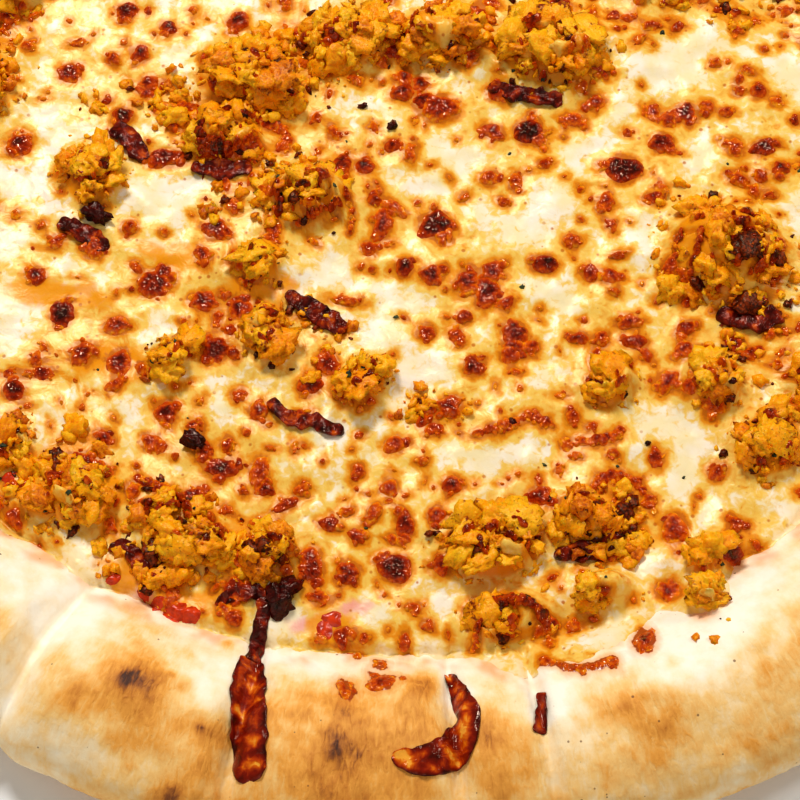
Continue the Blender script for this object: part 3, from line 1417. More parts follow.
@dataclass
class CheeseSheet:
    """Melted cheese: a soft, uneven sheet that drapes over the chicken and thins out on the rim."""

    rim: RimShape
    crust: Crust
    browning: Browning
    heaps: list[Heap]
    fallen: Spots = (  # x, y, half length, half width
        (-25.0, 1.5, 11.0, 10.0), (-30.1, -25.8, 13.0, 11.0), (-54.4, -1.1, 9.1, 7.6),
        (-21.7, -63.1, 10.5, 9.0), (75.7, -49.6, 10.0, 12.0), (64.5, -29.6, 6.5, 6.0),
        (-77.5, -95.7, 6.0, 6.2), (42.2, -105.9, 9.1, 7.6), (23.8, -129.6, 6.5, 4.3),
        (6.5, -77.9, 7.8, 4.8), (-44.0, -114.9, 18.3, 6.2), (14.9, 16.2, 7.5, 5.5), (72.4, -70.8, 7.5, 7.1),
        (63.1, -132.3, 3.9, 3.3), (-69.1, -2.5, 4.3, 4.8), (20.0, 66.0, 22.0, 13.0),
        (-60.0, 50.0, 14.0, 20.0), (78.0, 30.0, 15.0, 12.0), (0.0, 112.0, 16.0, 9.0),
        (-100.0, 10.0, 11.0, 16.0))
    level: float = 9.0
    swell: tuple[float, float] = (0.9, 24.0)
    ridges: tuple[float, float] = (0.6, 10.0)
    film: float = 2.0
    edge_film: float = -0.3
    edge_taper: float = 9.0
    bubble_rise: float = 0.05
    drape_lift: float = 1.2
    under_rings: int = 4
    bedding: float = 0.8
    lines_across: tuple[int, int, int] = (22, 214, 22)
    across_stops: tuple[float, ...] = (-1.0, -0.64, 0.64, 1.0)
    lines_along: tuple[int, int] = (208, 50)
    along_stops: tuple[float, ...] = (-1.0, 0.17, 1.0)
    matted: Spots = (
        (-24.0, 10.0, 16.0, 9.0), (-38.0, -6.0, 13.0, 8.0), (-50.0, -114.0, 14.0, 5.0),
        (-34.0, -112.0, 12.0, 6.0), (70.0, -42.0, 12.0, 12.0), (42.0, -107.0, 12.0, 8.0),
        (4.0, 14.0, 12.0, 5.0), (-72.0, -92.0, 9.0, 8.0))
    seeps: Spots = (
        (-48.0, -124.0, 11.0, 3.6), (-58.0, -118.5, 6.0, 3.0), (-14.0, -128.5, 5.0, 3.5),
        (-75.0, -52.0, 13.0, 5.0), (-52.0, -42.0, 9.0, 5.0), (-32.0, -50.0, 9.0, 5.0),
        (-62.0, -68.0, 10.0, 6.0))
    blushes: Spots = (
        (-13.0, -125.5, 8.0, 3.2), (-20.5, -128.5, 5.0, 2.2), (-43.7, -125.3, 7.0, 2.4),
        (-53.0, -121.5, 6.0, 2.2), (-86.0, -84.0, 4.0, 7.0))

    def edge(self, angles: Array) -> Array:
        """Where the cheese ends: the solid's edge, ragged by a millimetre."""
        ring = np.column_stack(on_circle(NOISE_RING, angles))
        ragged = 1.1 * gradient_noise(ring, 6.0, 71) + 0.8 * gradient_noise(ring, 2.6, 72)
        return self.rim.read("cheese", angles) + ragged + 0.4 * gradient_noise(ring, 1.3, 73)

    def inset(self, x: Array, y: Array) -> Array:
        """How far inside the cheese's edge these points lie."""
        radius, angles = polar(x, y)
        return self.edge(angles) - radius

    def bare_height(self, x: Array, y: Array) -> Array:
        """The height of the cheese without bubbles or chicken under it.

        Args:
            x: the points' first coordinates.
            y: their second ones.

        Returns:
            The height at each point.
        """
        swell, ridge = (
            height * np.array([noise.noise(Vector((a / size, b / size, seed))) for a, b in zip(x, y)])
            for (height, size), seed in ((self.swell, 2.0), (self.ridges, 7.0)))
        flat = np.column_stack((x, y))
        fine = 0.4 * gradient_noise(flat, 5.2, 75) + 0.10 * gradient_noise(flat, 2.4, 76)
        strands = 0.8 * (0.35 - np.abs(gradient_noise(flat, 12.0, 77)))
        level = self.level + swell + ridge + fine + strands
        inset = self.inset(x, y)
        film = self.edge_film + self.film * ease_between(inset, -0.5, self.edge_taper)
        film += 0.45 * gradient_noise(flat, 4.5, 78) * ease_between(inset, 0.0, 5.0)
        return np.maximum(level - 4.0 * ease_between(-inset, -4.0, 0.0), self.crust.height(x, y) + film)

    def height(self, x: Array, y: Array, depth: Optional[Array] = None) -> Array:
        """The height of the cheese's upper side.

        Args:
            x: the points' first coordinates.
            y: their second ones.
            depth: how deep inside a browned spot each point lies, if it is known.

        Returns:
            The height of each point.
        """
        if depth is None:
            depth, _ = self.browning.read(x, y)
        height = self.bare_height(x, y)
        for heap in self.heaps:
            away = heap.away(x, y)
            near = away < 1.9
            rise = np.maximum(heap.top - height[near], 1.0)
            cover = heap.covered(x[near], y[near])
            drape = rise / (1.0 + (away[near] / 0.86) ** 5)
            height[near] += drape * (0.55 + 0.40 * cover) + self.drape_lift * cover * bell(away[near], 0.9)
        skin = 1.0 + 0.45 * gradient_noise(np.column_stack((x, y)), 1.3, 79)
        height += self.bubble_rise * np.sqrt(np.clip(depth, 0.0, 2.4)) * skin
        height -= 0.08 * bell(depth + 0.5, 0.45)
        return height

    def surface(self, x: Array, y: Array) -> Array:
        """The height of whichever lies on top, cheese or crust."""
        return np.where(self.inset(x, y) > 0.0, self.height(x, y), self.crust.height(x, y))

    def heaped_height(self, x: Array, y: Array) -> Array:
        """The height of the cheese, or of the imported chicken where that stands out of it.

        Args:
            x: the points' first coordinates.
            y: their second ones.

        Returns:
            The height at each point.
        """
        top = self.height(x, y)
        for heap in self.heaps:
            inside = heap.away(x, y) < 1.0
            top[inside] = np.maximum(top[inside], heap.mound(x[inside], y[inside]) + 0.6)
        return top

    def build(self, finish: bpy.types.Material) -> bpy.types.Object:
        """Make the sheet as a closed piece that rests on the crust.

        Args:
            finish: its material.

        Returns:
            The piece.
        """
        across = self.lines(self.across_stops, self.lines_across)
        along = self.lines(self.along_stops, self.lines_along)
        x, y = self.rounded(*(part.ravel() for part in np.meshgrid(across, along, indexing="ij")))
        depth, oiliness = self.browning.read(x, y)
        top = np.column_stack((x, y, self.height(x, y, depth)))
        rows, columns = len(along), len(across)
        loop = np.concatenate((
            np.arange(columns) * rows, (columns - 1) * rows + np.arange(1, rows),
            np.arange(columns - 2, -1, -1) * rows + rows - 1, np.arange(rows - 2, 0, -1)))
        points = np.vstack((top, *self.under(top[loop]), [(0.0, 0.0, self.rim.floor_height - self.bedding)]))
        here = np.arange(len(loop))
        there = np.roll(here, -1)
        levels = [loop] + [len(top) + k * len(loop) + here for k in range(self.under_rings)]
        grid = grid_faces(columns, rows, closed=False)
        skirt = np.vstack([np.stack((above[here], above[there], below[there], below[here]), axis=1)
                           for above, below in zip(levels, levels[1:])])
        middle = np.full(len(loop), len(points) - 1)
        fan = np.stack((levels[-1][here], levels[-1][there], middle), axis=1)
        if faces_up(top, grid[0]):
            skirt, fan = skirt[:, ::-1], fan[:, ::-1]
        else:
            grid = grid[:, ::-1]
        fields = {"browning": depth, "oiliness": self.oil(x, y, oiliness), "blush": self.blush(x, y),
                  "soaking": self.soaking(x, y), "thinning": self.thinning(x, y)}
        below = np.zeros(len(points) - len(top))
        fields = {name: np.concatenate((values, below)) for name, values in fields.items()}
        fields["browning"][len(top):] = UNBROWNED
        piece = add_piece("cheese_sheet", points, (grid, skirt, fan), finish, fields)
        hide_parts("cheese")
        return piece

    def rounded(self, u: Array, v: Array) -> tuple[Array, Array]:
        """Map a square onto the cheese's outline.

        Args:
            u: the places' first coordinates, from -1 to 1.
            v: their second ones.

        Returns:
            The x and y of each place.
        """
        wide = np.abs(u) > np.abs(v)
        reach = np.where(wide, u, v)
        ratio = np.divide(np.where(wide, v, u), reach, out=np.zeros_like(u), where=np.abs(reach) > 1e-9)
        turn = np.where(wide, 0.25 * math.pi * ratio, 0.5 * math.pi - 0.25 * math.pi * ratio)
        x, y = reach * np.cos(turn), reach * np.sin(turn)
        edge = self.edge(polar(x, y)[1])
        return x * edge, y * edge

    def under(self, edge: Array) -> list[Array]:
        """Rings of points under the sheet that lie in the crust.

        Args:
            edge: the points round the sheet's edge.

        Returns:
            The points of each ring, from the edge inward.
        """
        out = np.hypot(edge[:, 0], edge[:, 1])
        rings = []
        for share in np.linspace(0.0, 1.0, self.under_rings):
            radius = out + (self.rim.floor_radius - 5.0 - out) * share
            x, y = edge[:, 0] * radius / out, edge[:, 1] * radius / out
            rings.append(np.column_stack((x, y, self.crust.height(x, y) - self.bedding)))
        return rings

    @staticmethod
    def lines(stops: Sequence[float], counts: Sequence[int]) -> Array:
        """Grid lines with a count of equal steps between each two stops."""
        parts = [np.linspace(low, high, count, endpoint=False)
                 for low, high, count in zip(stops, stops[1:], counts)]
        return np.concatenate((*parts, [stops[-1]]))

    def oil(self, x: Array, y: Array, oiliness: Array) -> Array:
        """How much golden fat lies on the cheese: round browned spots, round the chicken and in pools.

        Args:
            x: the points' first coordinates.
            y: their second ones.
            oiliness: how oily the browned spots make each point.

        Returns:
            The amount at each point.
        """
        flat = np.column_stack((x, y))
        pools = 0.56 * ease_between(layered_noise(flat, 15.0, 81), -0.1, 0.6)
        near = np.zeros(len(x))
        for heap in self.heaps:
            near = np.maximum(near, 0.85 * bell(np.maximum(heap.away(x, y) - 0.8, 0.0), 0.55))
        for at_x, at_y, length, width in self.fallen:
            near = np.maximum(near, 0.7 * bell(np.hypot((x - at_x) / length, (y - at_y) / width), 0.95))
        return np.clip(1.0 - (1.0 - 0.9 * oiliness) * (1.0 - near) * (1.0 - pools), 0.0, 1.0)

    def soaking(self, x: Array, y: Array) -> Array:
        """How far the ground between the crumbs is soaked in spice and fat.

        Args:
            x: the points' first coordinates.
            y: their second ones.

        Returns:
            The share at each point.
        """
        soaked = np.zeros(len(x))
        for heap in self.heaps:
            near = np.flatnonzero(heap.away(x, y) < 1.2)
            soaked[near] = np.maximum(soaked[near], heap.soaking(x[near], y[near]))
        patchy = 0.45 * layered_noise(np.column_stack((x, y)), 6.0, 84)
        for at_x, at_y, length, width in self.matted + self.seeps:
            away = np.hypot((x - at_x) / length, (y - at_y) / width)
            soaked = np.maximum(soaked, 0.75 * (1.0 - ease_between(away + patchy, 0.5, 1.15)))
        return soaked

    def thinning(self, x: Array, y: Array) -> Array:
        """How thin the cheese has run: 1 at its edge and 0 where it lies thick."""
        return 1.0 - ease_between(self.inset(x, y), -0.5, 10.0)

    def blush(self, x: Array, y: Array) -> Array:
        """Where the sauce shows pink through the thin edge of the cheese.

        Args:
            x: the points' first coordinates.
            y: their second ones.

        Returns:
            The share at each point.
        """
        pink = np.zeros(len(x))
        frayed = 0.5 * gradient_noise(np.column_stack((x, y)), 3.0, 83)
        for at_x, at_y, length, width in self.blushes:
            away = np.hypot((x - at_x) / length, (y - at_y) / width) + frayed
            pink = np.maximum(pink, 0.85 * (1.0 - ease_between(away, 0.3, 1.2)))
        return pink


# ---- The sauce ----


@dataclass
class Sauce:
    """The film of tomato under the cheese, which shows where it was squeezed past the cheese's edge."""

    rim: RimShape
    crust: Crust
    inner_radius: float = 112.0
    thickness: float = 0.4
    columns: int = 300
    rows: int = 8
    tucked: float = 5.4
    pools: Spots = (  # x, y, half length, half width, turn
        (-15.6, -129.6, 2.1, 2.5, 0.2), (-14.0, -127.2, 2.4, 1.9, 0.0), (-47.0, -125.6, 3.2, 2.2, 0.2),
        (-43.5, -126.3, 2.6, 2.0, 0.4), (-51.0, -123.6, 2.4, 1.6, 0.6), (-53.4, -121.3, 1.8, 1.3, 0.0),
        (-83.0, -95.6, 2.2, 1.4, 0.9), (-60.0, -118.4, 2.0, 1.2, 0.5))

    def build(self, finish: bpy.types.Material) -> bpy.types.Object:
        """Make the sauce.

        Args:
            finish: its material.

        Returns:
            The piece.
        """
        angles = np.linspace(-180.0, 180.0, self.columns, endpoint=False)
        ring = np.column_stack(on_circle(NOISE_RING, angles))
        edge = self.rim.read("sauce", angles) - self.tucked + 0.8 * gradient_noise(ring, 5.0, 111)
        shares = np.linspace(0.0, 1.0, self.rows) ** 0.6
        layers = []
        for share, side in [(s, 1.0) for s in shares] + [(s, 0.0) for s in shares[::-1]]:
            x, y = on_circle(self.inner_radius + (edge - self.inner_radius) * share, angles)
            pulp = 1.0 + 0.4 * gradient_noise(np.column_stack((x, y)), 3.0, 112)
            round_edge = math.sqrt(max(0.0, 1.0 - share ** 40))
            lift = 0.08 + side * self.thickness * pulp * round_edge
            layers.append(np.column_stack((x, y, self.crust.height(x, y) - 0.1 + lift)))
        points = np.stack(layers, axis=1).reshape(-1, 3)
        rows = len(layers)
        quads = grid_faces(self.columns, rows, closed=True)
        column = np.arange(self.columns) * rows
        beside = np.roll(column, -1)
        join = np.stack((column + rows - 1, column, beside, beside + rows - 1), axis=1)
        piece = add_piece("sauce_film", points, (outward(points, np.vstack((quads, join))),), finish)
        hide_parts("sauce")
        return piece


# ---- Chicken ----


class Crumb(Enum):
    """The kinds of piece in a heap.

    Each has its least and greatest length, the area of heap that has one, how far out it lies for the
    heap's size, and its level of detail.
    """

    SLAB = (5.0, 9.0, 25.0, 0.85, 3)
    CHUNK = (3.0, 5.5, 14.0, 1.08, 3)
    CRUMB = (1.3, 2.8, 4.0, 1.45, 2)
    GRAIN = (0.7, 1.4, 4.0, 1.6, 1)


@dataclass
class CrumbKit:
    """A stock of rough, angular lumps at several levels of detail, to scatter as crumbs."""

    stock: int = 28
    seed: int = 77
    lumps: list[list[Array]] = field(init=False)
    faces: list[Array] = field(init=False)

    def __post_init__(self) -> None:
        """Make the lumps, each at most about one unit long."""
        rng = np.random.default_rng(self.seed)
        self.lumps, self.faces = [], []
        for detail in range(4):
            ball, faces = self.ball(max(1, detail))
            self.faces.append(faces)
            made = []
            for _ in range(self.stock):
                rough = 0.62 * gradient_noise(ball * 2.8 + rng.uniform(0.0, 60.0, 3), 1.0, 3)
                rough += 0.46 * gradient_noise(ball * 6.5 + rng.uniform(0.0, 60.0, 3), 1.0, 4)
                made.append(ball * (1.0 + rough)[:, None])
            self.lumps.append(made)

    @staticmethod
    def ball(detail: int) -> tuple[Array, Array]:
        """A ball of triangles.

        Args:
            detail: how often its faces are divided.

        Returns:
            Its points, half a unit from the middle, and its faces.
        """
        bm = bmesh.new()
        bmesh.ops.create_icosphere(bm, subdivisions=detail, radius=0.5)
        points = np.array([vertex.co for vertex in bm.verts], float)
        faces = np.array([[vertex.index for vertex in face.verts] for face in bm.faces])
        bm.free()
        return points, faces

    def take(self, rng: np.random.Generator, detail: int, size: Array, flat: bool) -> tuple[Array, Array]:
        """Take a lump, size it and turn it.

        Args:
            rng: the seeded source of chance.
            detail: its level of detail, from 1 to 3.
            size: its length, width and height.
            flat: whether it lies nearly level.

        Returns:
            Its points about its middle, and how far out each stands for its length.
        """
        shape = self.lumps[detail][rng.integers(self.stock)] * size
        edge = np.linalg.norm(shape, axis=1) / (0.5 * size[0])
        return shape @ self.turned(rng, flat).T, edge

    @staticmethod
    def turned(rng: np.random.Generator, flat: bool) -> Array:
        """A chance turn, any way round.

        Args:
            rng: the seeded source of chance.
            flat: whether it is tilted only a little.

        Returns:
            A rotation matrix.
        """
        spin = rng.uniform(0.0, math.tau)
        low, high = (-0.5, 0.5) if flat else (0.0, math.tau)
        tilt, roll = rng.uniform(low, high), rng.uniform(low, high)
        return np.array(Matrix.Rotation(spin, 3, "Z") @ Matrix.Rotation(tilt, 3, "Y")
                        @ Matrix.Rotation(roll, 3, "X"))


@dataclass
class ChickenHeap:
    """One heap of pulled chicken: chunks, crumbs and shreds laid over a low mound."""

    heap: Heap
    cheese: CheeseSheet
    kit: CrumbKit
    seen: tuple[float, float] = (96.0, 30.0)
    hidden_detail: int = 2
    charred_share: float = 0.16
    seed: int = 500

    def scatter(self, rng: np.random.Generator, kind: Crumb, pile: Pile) -> None:
        """Add the pieces of one kind.

        Args:
            rng: the seeded source of chance.
            kind: which kind of piece.
            pile: what they are added to, with the tone and scorching of each point.
        """
        least, most, area, reach, detail = kind.value
        small = kind in (Crumb.CRUMB, Crumb.GRAIN)
        count = max(3, round(math.pi * self.heap.length * self.heap.width / area))
        out = reach * rng.random(count) ** (0.66 if small else 0.5)
        turn = rng.uniform(0.0, math.tau, count)
        x, y = self.heap.place(out * np.cos(turn), out * np.sin(turn))
        z = np.maximum(self.heap.mound(x, y), self.cheese.bare_height(x, y))
        hidden = self.heap.covered(x, y)
        if abs(self.heap.x) > self.seen[0] or self.heap.y > self.seen[1]:
            detail = min(detail, self.hidden_detail)
        for index in range(count):
            if small and rng.random() < 0.9 * hidden[index]:
                continue
            long = rng.uniform(least, most) * (1.25 if small else 1.0)
            thick = rng.uniform(0.26, 0.42) if kind is Crumb.SLAB else rng.uniform(0.4, 0.75)
            wide = rng.uniform(0.34, 0.72) if small else rng.uniform(0.5, 0.95)
            size = long * np.array((1.0, wide, min(thick, wide)))
            shape, edge = self.kit.take(rng, detail, size, flat=not small)
            middle = np.array((x[index], y[index], z[index] + 0.16 * size[2] - 1.8 * hidden[index]))
            tone = rng.normal(0.52, 0.25) + 0.3 * edge
            burn = 0.8 * float(small and rng.random() < self.charred_share) + 0.16 * rng.random()
            burn = burn + 0.5 * ease_between(edge, 0.95, 1.35) * rng.random()
            pile.add(shape + middle, self.kit.faces[detail], tone=tone, scorch=burn)

    def build(self, finish: bpy.types.Material) -> bpy.types.Object:
        """Make the heap.

        Args:
            finish: its material.

        Returns:
            The piece.
        """
        rng = np.random.default_rng(self.seed + int(self.heap.node[-2:]))
        pile = Pile()
        for kind in Crumb:
            self.scatter(rng, kind, pile)
        points, faces, values = pile.gathered()
        scorch = values["scorch"] + 0.34 * ease_between(gradient_noise(points, 4.0, 131), 0.15, 0.8)
        crevice = ease_between(self.heap.mound(points[:, 0], points[:, 1]) + 0.55 - points[:, 2], 0.0, 1.6)
        fields = {"tone": np.clip(values["tone"] - 0.14 * crevice, 0.0, 1.0),
                  "scorch": np.clip(scorch + 0.32 * crevice, 0.0, 1.0)}
        piece = add_piece(f"{self.heap.node}_pulled", points, (faces,), finish, fields)
        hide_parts(self.heap.node)
        return piece


@dataclass
class FallenChicken:
    """Crumbs of chicken that lie in the cheese between the heaps, half sunk in it."""

    name: str
    cheese: CheeseSheet
    kit: CrumbKit
    zones: Spots
    area_per_crumb: float
    sizes: tuple[float, float]
    seed: int
    rounder_from: tuple[float, float] = (1.7, 4.2)
    flat_from: float = 3.0
    charred_share: float = 0.14

    def build(self, finish: bpy.types.Material) -> bpy.types.Object:
        """Make the crumbs as one piece.

        Args:
            finish: their material.

        Returns:
            The piece.
        """
        rng = np.random.default_rng(self.seed)
        spots = []
        for x, y, length, width in self.zones:
            count = round(math.pi * length * width / self.area_per_crumb)
            out, turn = 1.15 * rng.random(count) ** 0.6, rng.uniform(0.0, math.tau, count)
            spots.append(np.column_stack((x + length * out * np.cos(turn), y + width * out * np.sin(turn))))
        spots = np.vstack(spots)
        spots = spots[gradient_noise(spots, 7.0, 88) > rng.uniform(-0.55, 0.15, len(spots))]
        ground = self.cheese.height(spots[:, 0], spots[:, 1])
        pile = Pile()
        for (x, y), z in zip(spots, ground):
            long = self.sizes[0] + (self.sizes[1] - self.sizes[0]) * rng.random() ** 1.6
            detail = 1 + sum(long > least for least in self.rounder_from)
            size = long * np.array((1.0, rng.uniform(0.55, 0.95), rng.uniform(0.35, 0.7)))
            shape, edge = self.kit.take(rng, detail, size, flat=long > self.flat_from)
            tone = rng.normal(0.42, 0.22) + 0.3 * edge
            low = 0.5 * ease_between(-shape[:, 2] / size[2], 0.0, 0.4)
            burn = 0.75 * float(rng.random() < self.charred_share) + 0.2 * rng.random() + low
            middle = np.array((x, y, z + 0.14 * size[2]))
            pile.add(shape + middle, self.kit.faces[detail], tone=tone, scorch=burn)
        points, faces, values = pile.gathered()
        fields = {name: np.clip(each, 0.0, 1.0) for name, each in values.items()}
        piece = add_piece(self.name, points, (faces,), finish, fields)
        return piece


# ---- Strips, runs and flecks ----


@dataclass
class Ribbon:
    """A strip that lies on what is under it: thin, wrinkled across, and curled at its edges."""

    name: str
    node: str
    slot: str
    line: Array
    thickness: float
    rough: float
    seed: int
    hollow: float
    dark: tuple[float, float]
    torn: float
    crumple: float
    sides: int = 24
    bedding: float = 0.3

    def rings(self) -> tuple[Array, Array]:
        """The strip before it is laid down.

        Returns:
            Its points, ring after ring and flat underneath, and how near its side edges each lies.
        """
        middle, half = self.line[:, :2], self.line[:, 2]
        along = np.gradient(middle, axis=0)
        along /= np.linalg.norm(along, axis=1, keepdims=True)
        across = np.column_stack((-along[:, 1], along[:, 0]))
        count = len(middle)
        ends = np.clip(np.sin(np.linspace(0.0, math.pi, count)) * 4.0, 0.0, 1.0) ** 0.5
        steps = np.cumsum(np.concatenate(([0.0], np.linalg.norm(np.diff(middle, axis=0), axis=1))))
        rings, sides = [], []
        for turn in np.linspace(0.0, math.tau, self.sides, endpoint=False):
            side = np.sign(math.cos(turn)) * abs(math.cos(turn)) ** 0.7
            torn = np.column_stack((steps, np.full(count, 30.0 * np.sign(side))))
            frayed = gradient_noise(torn, 4.0, self.seed) + 0.5 * gradient_noise(torn, 1.7, 9)
            spot = middle + across * (half * ends * (1.0 + self.torn * frayed) * side)[:, None]
            round_top = (1.0 + math.sin(turn)) * (1.0 - self.hollow * (1.0 - side ** 2))
            rings.append(np.column_stack((spot, 0.5 * self.thickness * ends * round_top)))
            sides.append(np.full(count, abs(side)))
        return np.stack(rings, axis=1).reshape(-1, 3), np.stack(sides, axis=1).ravel()

    def build(self, ground: Ground, finish: bpy.types.Material) -> bpy.types.Object:
        """Make the strip.

        Args:
            ground: gives the height of what it lies on.
            finish: its material.

        Returns:
            The piece.
        """
        points, beside = self.rings()
        rise = points[:, 2].copy()
        crumple = layered_noise(points * np.array((1.0, 1.0, 0.3)), self.rough, self.seed)
        bed = ground(points[:, 0], points[:, 1]) - self.bedding
        points[:, 2] = bed + rise * (1.0 + self.crumple * crumple)
        points[:, :2] += 0.35 * np.column_stack([gradient_noise(points, 2.0, self.seed + k) for k in (1, 2)])
        count = len(self.line)
        columns = np.arange(len(points)).reshape(count, self.sides).T.reshape(-1)
        quads = columns[grid_faces(self.sides, count, closed=True)]
        caps = [np.arange(self.sides)[None, ::-1], np.arange(self.sides)[None, :] + len(points) - self.sides]
        turned = outward(points, quads)
        if turned is not quads:
            caps = [cap[:, ::-1] for cap in caps]
        thick = self.dark[0] + 0.55 * gradient_noise(points, 2.6, self.seed + 3) + self.dark[1] * beside ** 3
        piece = add_piece(self.name, points, (turned, *caps), finish, {"thickness": np.clip(thick, 0.0, 1.0)})
        if self.node:
            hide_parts(self.node)
        return piece


@dataclass
class Trimmings:
    """The dark onion strips and the browned cheese that ran over the rim, where their solids lie."""

    strips: tuple[tuple[Any, ...], ...] = (  # width, then each point's x and y
        (3.4, (-28, -77), (-25, -81), (-19, -82.5), (-12, -85)),
        (3.0, (-61.5, -112), (-57, -111.5), (-54.5, -115.5), (-50.5, -117.5), (-46.5, -117)),
        (3.0, (-38.5, -124), (-34, -122.5), (-28, -121.4), (-23.5, -123)),
        (3.4, (20, 1.5), (25, -0.5), (31, -1.5), (37, -3)),
        (4.4, (-65, -9), (-60.5, -13), (-57.5, -18)),
        (4.2, (-76, -34), (-70, -36.5), (-64.5, -40.5)),
        (4.2, (-25, -51), (-20, -54.8), (-15.5, -58), (-11.5, -60.5)),
        (3.6, (-47, -19.5), (-40, -20.5), (-33, -20)),
        (4.6, (69, -57), (77, -58), (84, -57.5)),
        (3.6, (32, -113.3), (37, -113), (43, -111.8), (47.5, -109.5)))
    runs: tuple[Spots, ...] = (  # each point's direction, radius and half width
        ((-102.7, 139, 1.8), (-102.4, 144, 3.1), (-101.6, 152, 3.6), (-100.9, 160, 3.6), (-100.3, 168, 3.1)),
        ((-86.1, 140, 1.0), (-85.2, 147, 1.9), (-84.9, 153, 2.6), (-86.2, 159, 3.6), (-88.4, 161.5, 3.0),
         (-90.6, 160, 1.6)),
        ((-78.9, 148.5, 0.8), (-79.3, 153, 1.0), (-79.8, 158, 1.5)))
    join: Spots = (  # each point's x, y and half width
        (-28.2, -122.5, 1.4), (-28.7, -127.0, 1.7), (-29.6, -132.5, 1.6), (-30.4, -137.5, 1.6))
    steps: int = 14
    strip_thickness: float = 2.0
    run_thickness: float = 1.4
    join_thickness: float = 1.6
    strip_seed: int = 140
    run_seed: int = 160
    join_seed: int = 171

    def build(self, cheese: Ground, crust: Ground, onion: bpy.types.Material,
              browned: bpy.types.Material) -> None:
        """Make every strip and run.

        Args:
            cheese: gives the height of the sheet that the strips lie on.
            crust: gives the height of the rim that the runs lie on.
            onion: the strips' material.
            browned: the runs' material.
        """
        for number, (width, *places) in enumerate(self.strips, 1):
            line = smooth_line(places, self.steps)
            share = np.sin(np.linspace(0.0, math.pi, len(line)))
            line = np.column_stack((line, 0.58 * width * (0.62 + 0.38 * share)))
            name = f"onion_{number:02d}"
            strip = Ribbon(f"{name}_strip", name, "onion", line, self.strip_thickness, 2.4,
                           self.strip_seed + number, hollow=0.35, dark=(0.42, 0.12), torn=0.4, crumple=0.8)
            strip.build(cheese, onion)
        for number, places in enumerate(self.runs, 1):
            line = smooth_line([(*on_circle(radius, angle), half) for angle, radius, half in places],
                               self.steps)
            name = f"run_{number}"
            run = Ribbon(f"{name}_browned", name, "browned_cheese", line, self.run_thickness, 3.0,
                         self.run_seed + number, hollow=0.5, dark=(0.36, 0.5), torn=0.12, crumple=0.45)
            run.build(crust, browned)

    def build_join(self, ground: Ground, onion: bpy.types.Material) -> None:
        """Make the strip that crosses from the cheese to the rim.

        Args:
            ground: gives the height of what it lies on.
            onion: its material.
        """
        line = smooth_line(self.join, self.steps)
        strip = Ribbon("join_strip", "", "onion", line, self.join_thickness, 2.4, self.join_seed, hollow=0.2,
                       dark=(0.5, 0.1), torn=0.2, crumple=0.5)
        strip.build(ground, onion)


@dataclass
class Flecks:
    """Dried herb and charred onion bits, scattered over the chicken and a few over the cheese."""

    name: str
    slot: str
    count: int
    sizes: tuple[float, float]
    flatness: float
    on_heaps: float
    seed: int
    named: Spots = ()
    spread_radius: float = 130.0
    detailed_from: float = 2.6

    def build(self, cheese: CheeseSheet, finish: bpy.types.Material) -> bpy.types.Object:
        """Make the flecks as one piece.

        Args:
            cheese: the sheet and the heaps that they lie on.
            finish: their material.

        Returns:
            The piece.
        """
        rng = np.random.default_rng(self.seed)
        kit = CrumbKit(seed=self.seed)
        places = [tuple(row) for row in self.named]
        while len(places) < self.count:
            if rng.random() < self.on_heaps:
                heap = cheese.heaps[rng.integers(len(cheese.heaps))]
                out, turn = 1.05 * math.sqrt(rng.random()), rng.uniform(0.0, math.tau)
                x, y = heap.place(out * math.cos(turn), out * math.sin(turn))
            else:
                out, turn = self.spread_radius * math.sqrt(rng.random()), rng.uniform(0.0, math.tau)
                x, y = out * math.cos(turn), out * math.sin(turn)
            places.append((x, y, rng.uniform(*self.sizes)))
        spots = np.array(places)
        pile = Pile()
        for (x, y, size), top in zip(spots, cheese.heaped_height(spots[:, 0], spots[:, 1])):
            detail = 3 if size > self.detailed_from else 2
            shape, _ = kit.take(rng, detail, size * np.array((1.0, rng.uniform(0.45, 0.9), self.flatness)),
                                flat=True)
            pile.add(shape + np.array((x, y, top + 0.3 * self.flatness * size)), kit.faces[detail])
        points, faces, _ = pile.gathered()
        fields = {"thickness": np.clip(0.75 + 0.3 * gradient_noise(points, 2.0, self.seed), 0.0, 1.0)}
        piece = add_piece(self.name, points, (faces,), finish, fields)
        return piece


# ---- The studio ----


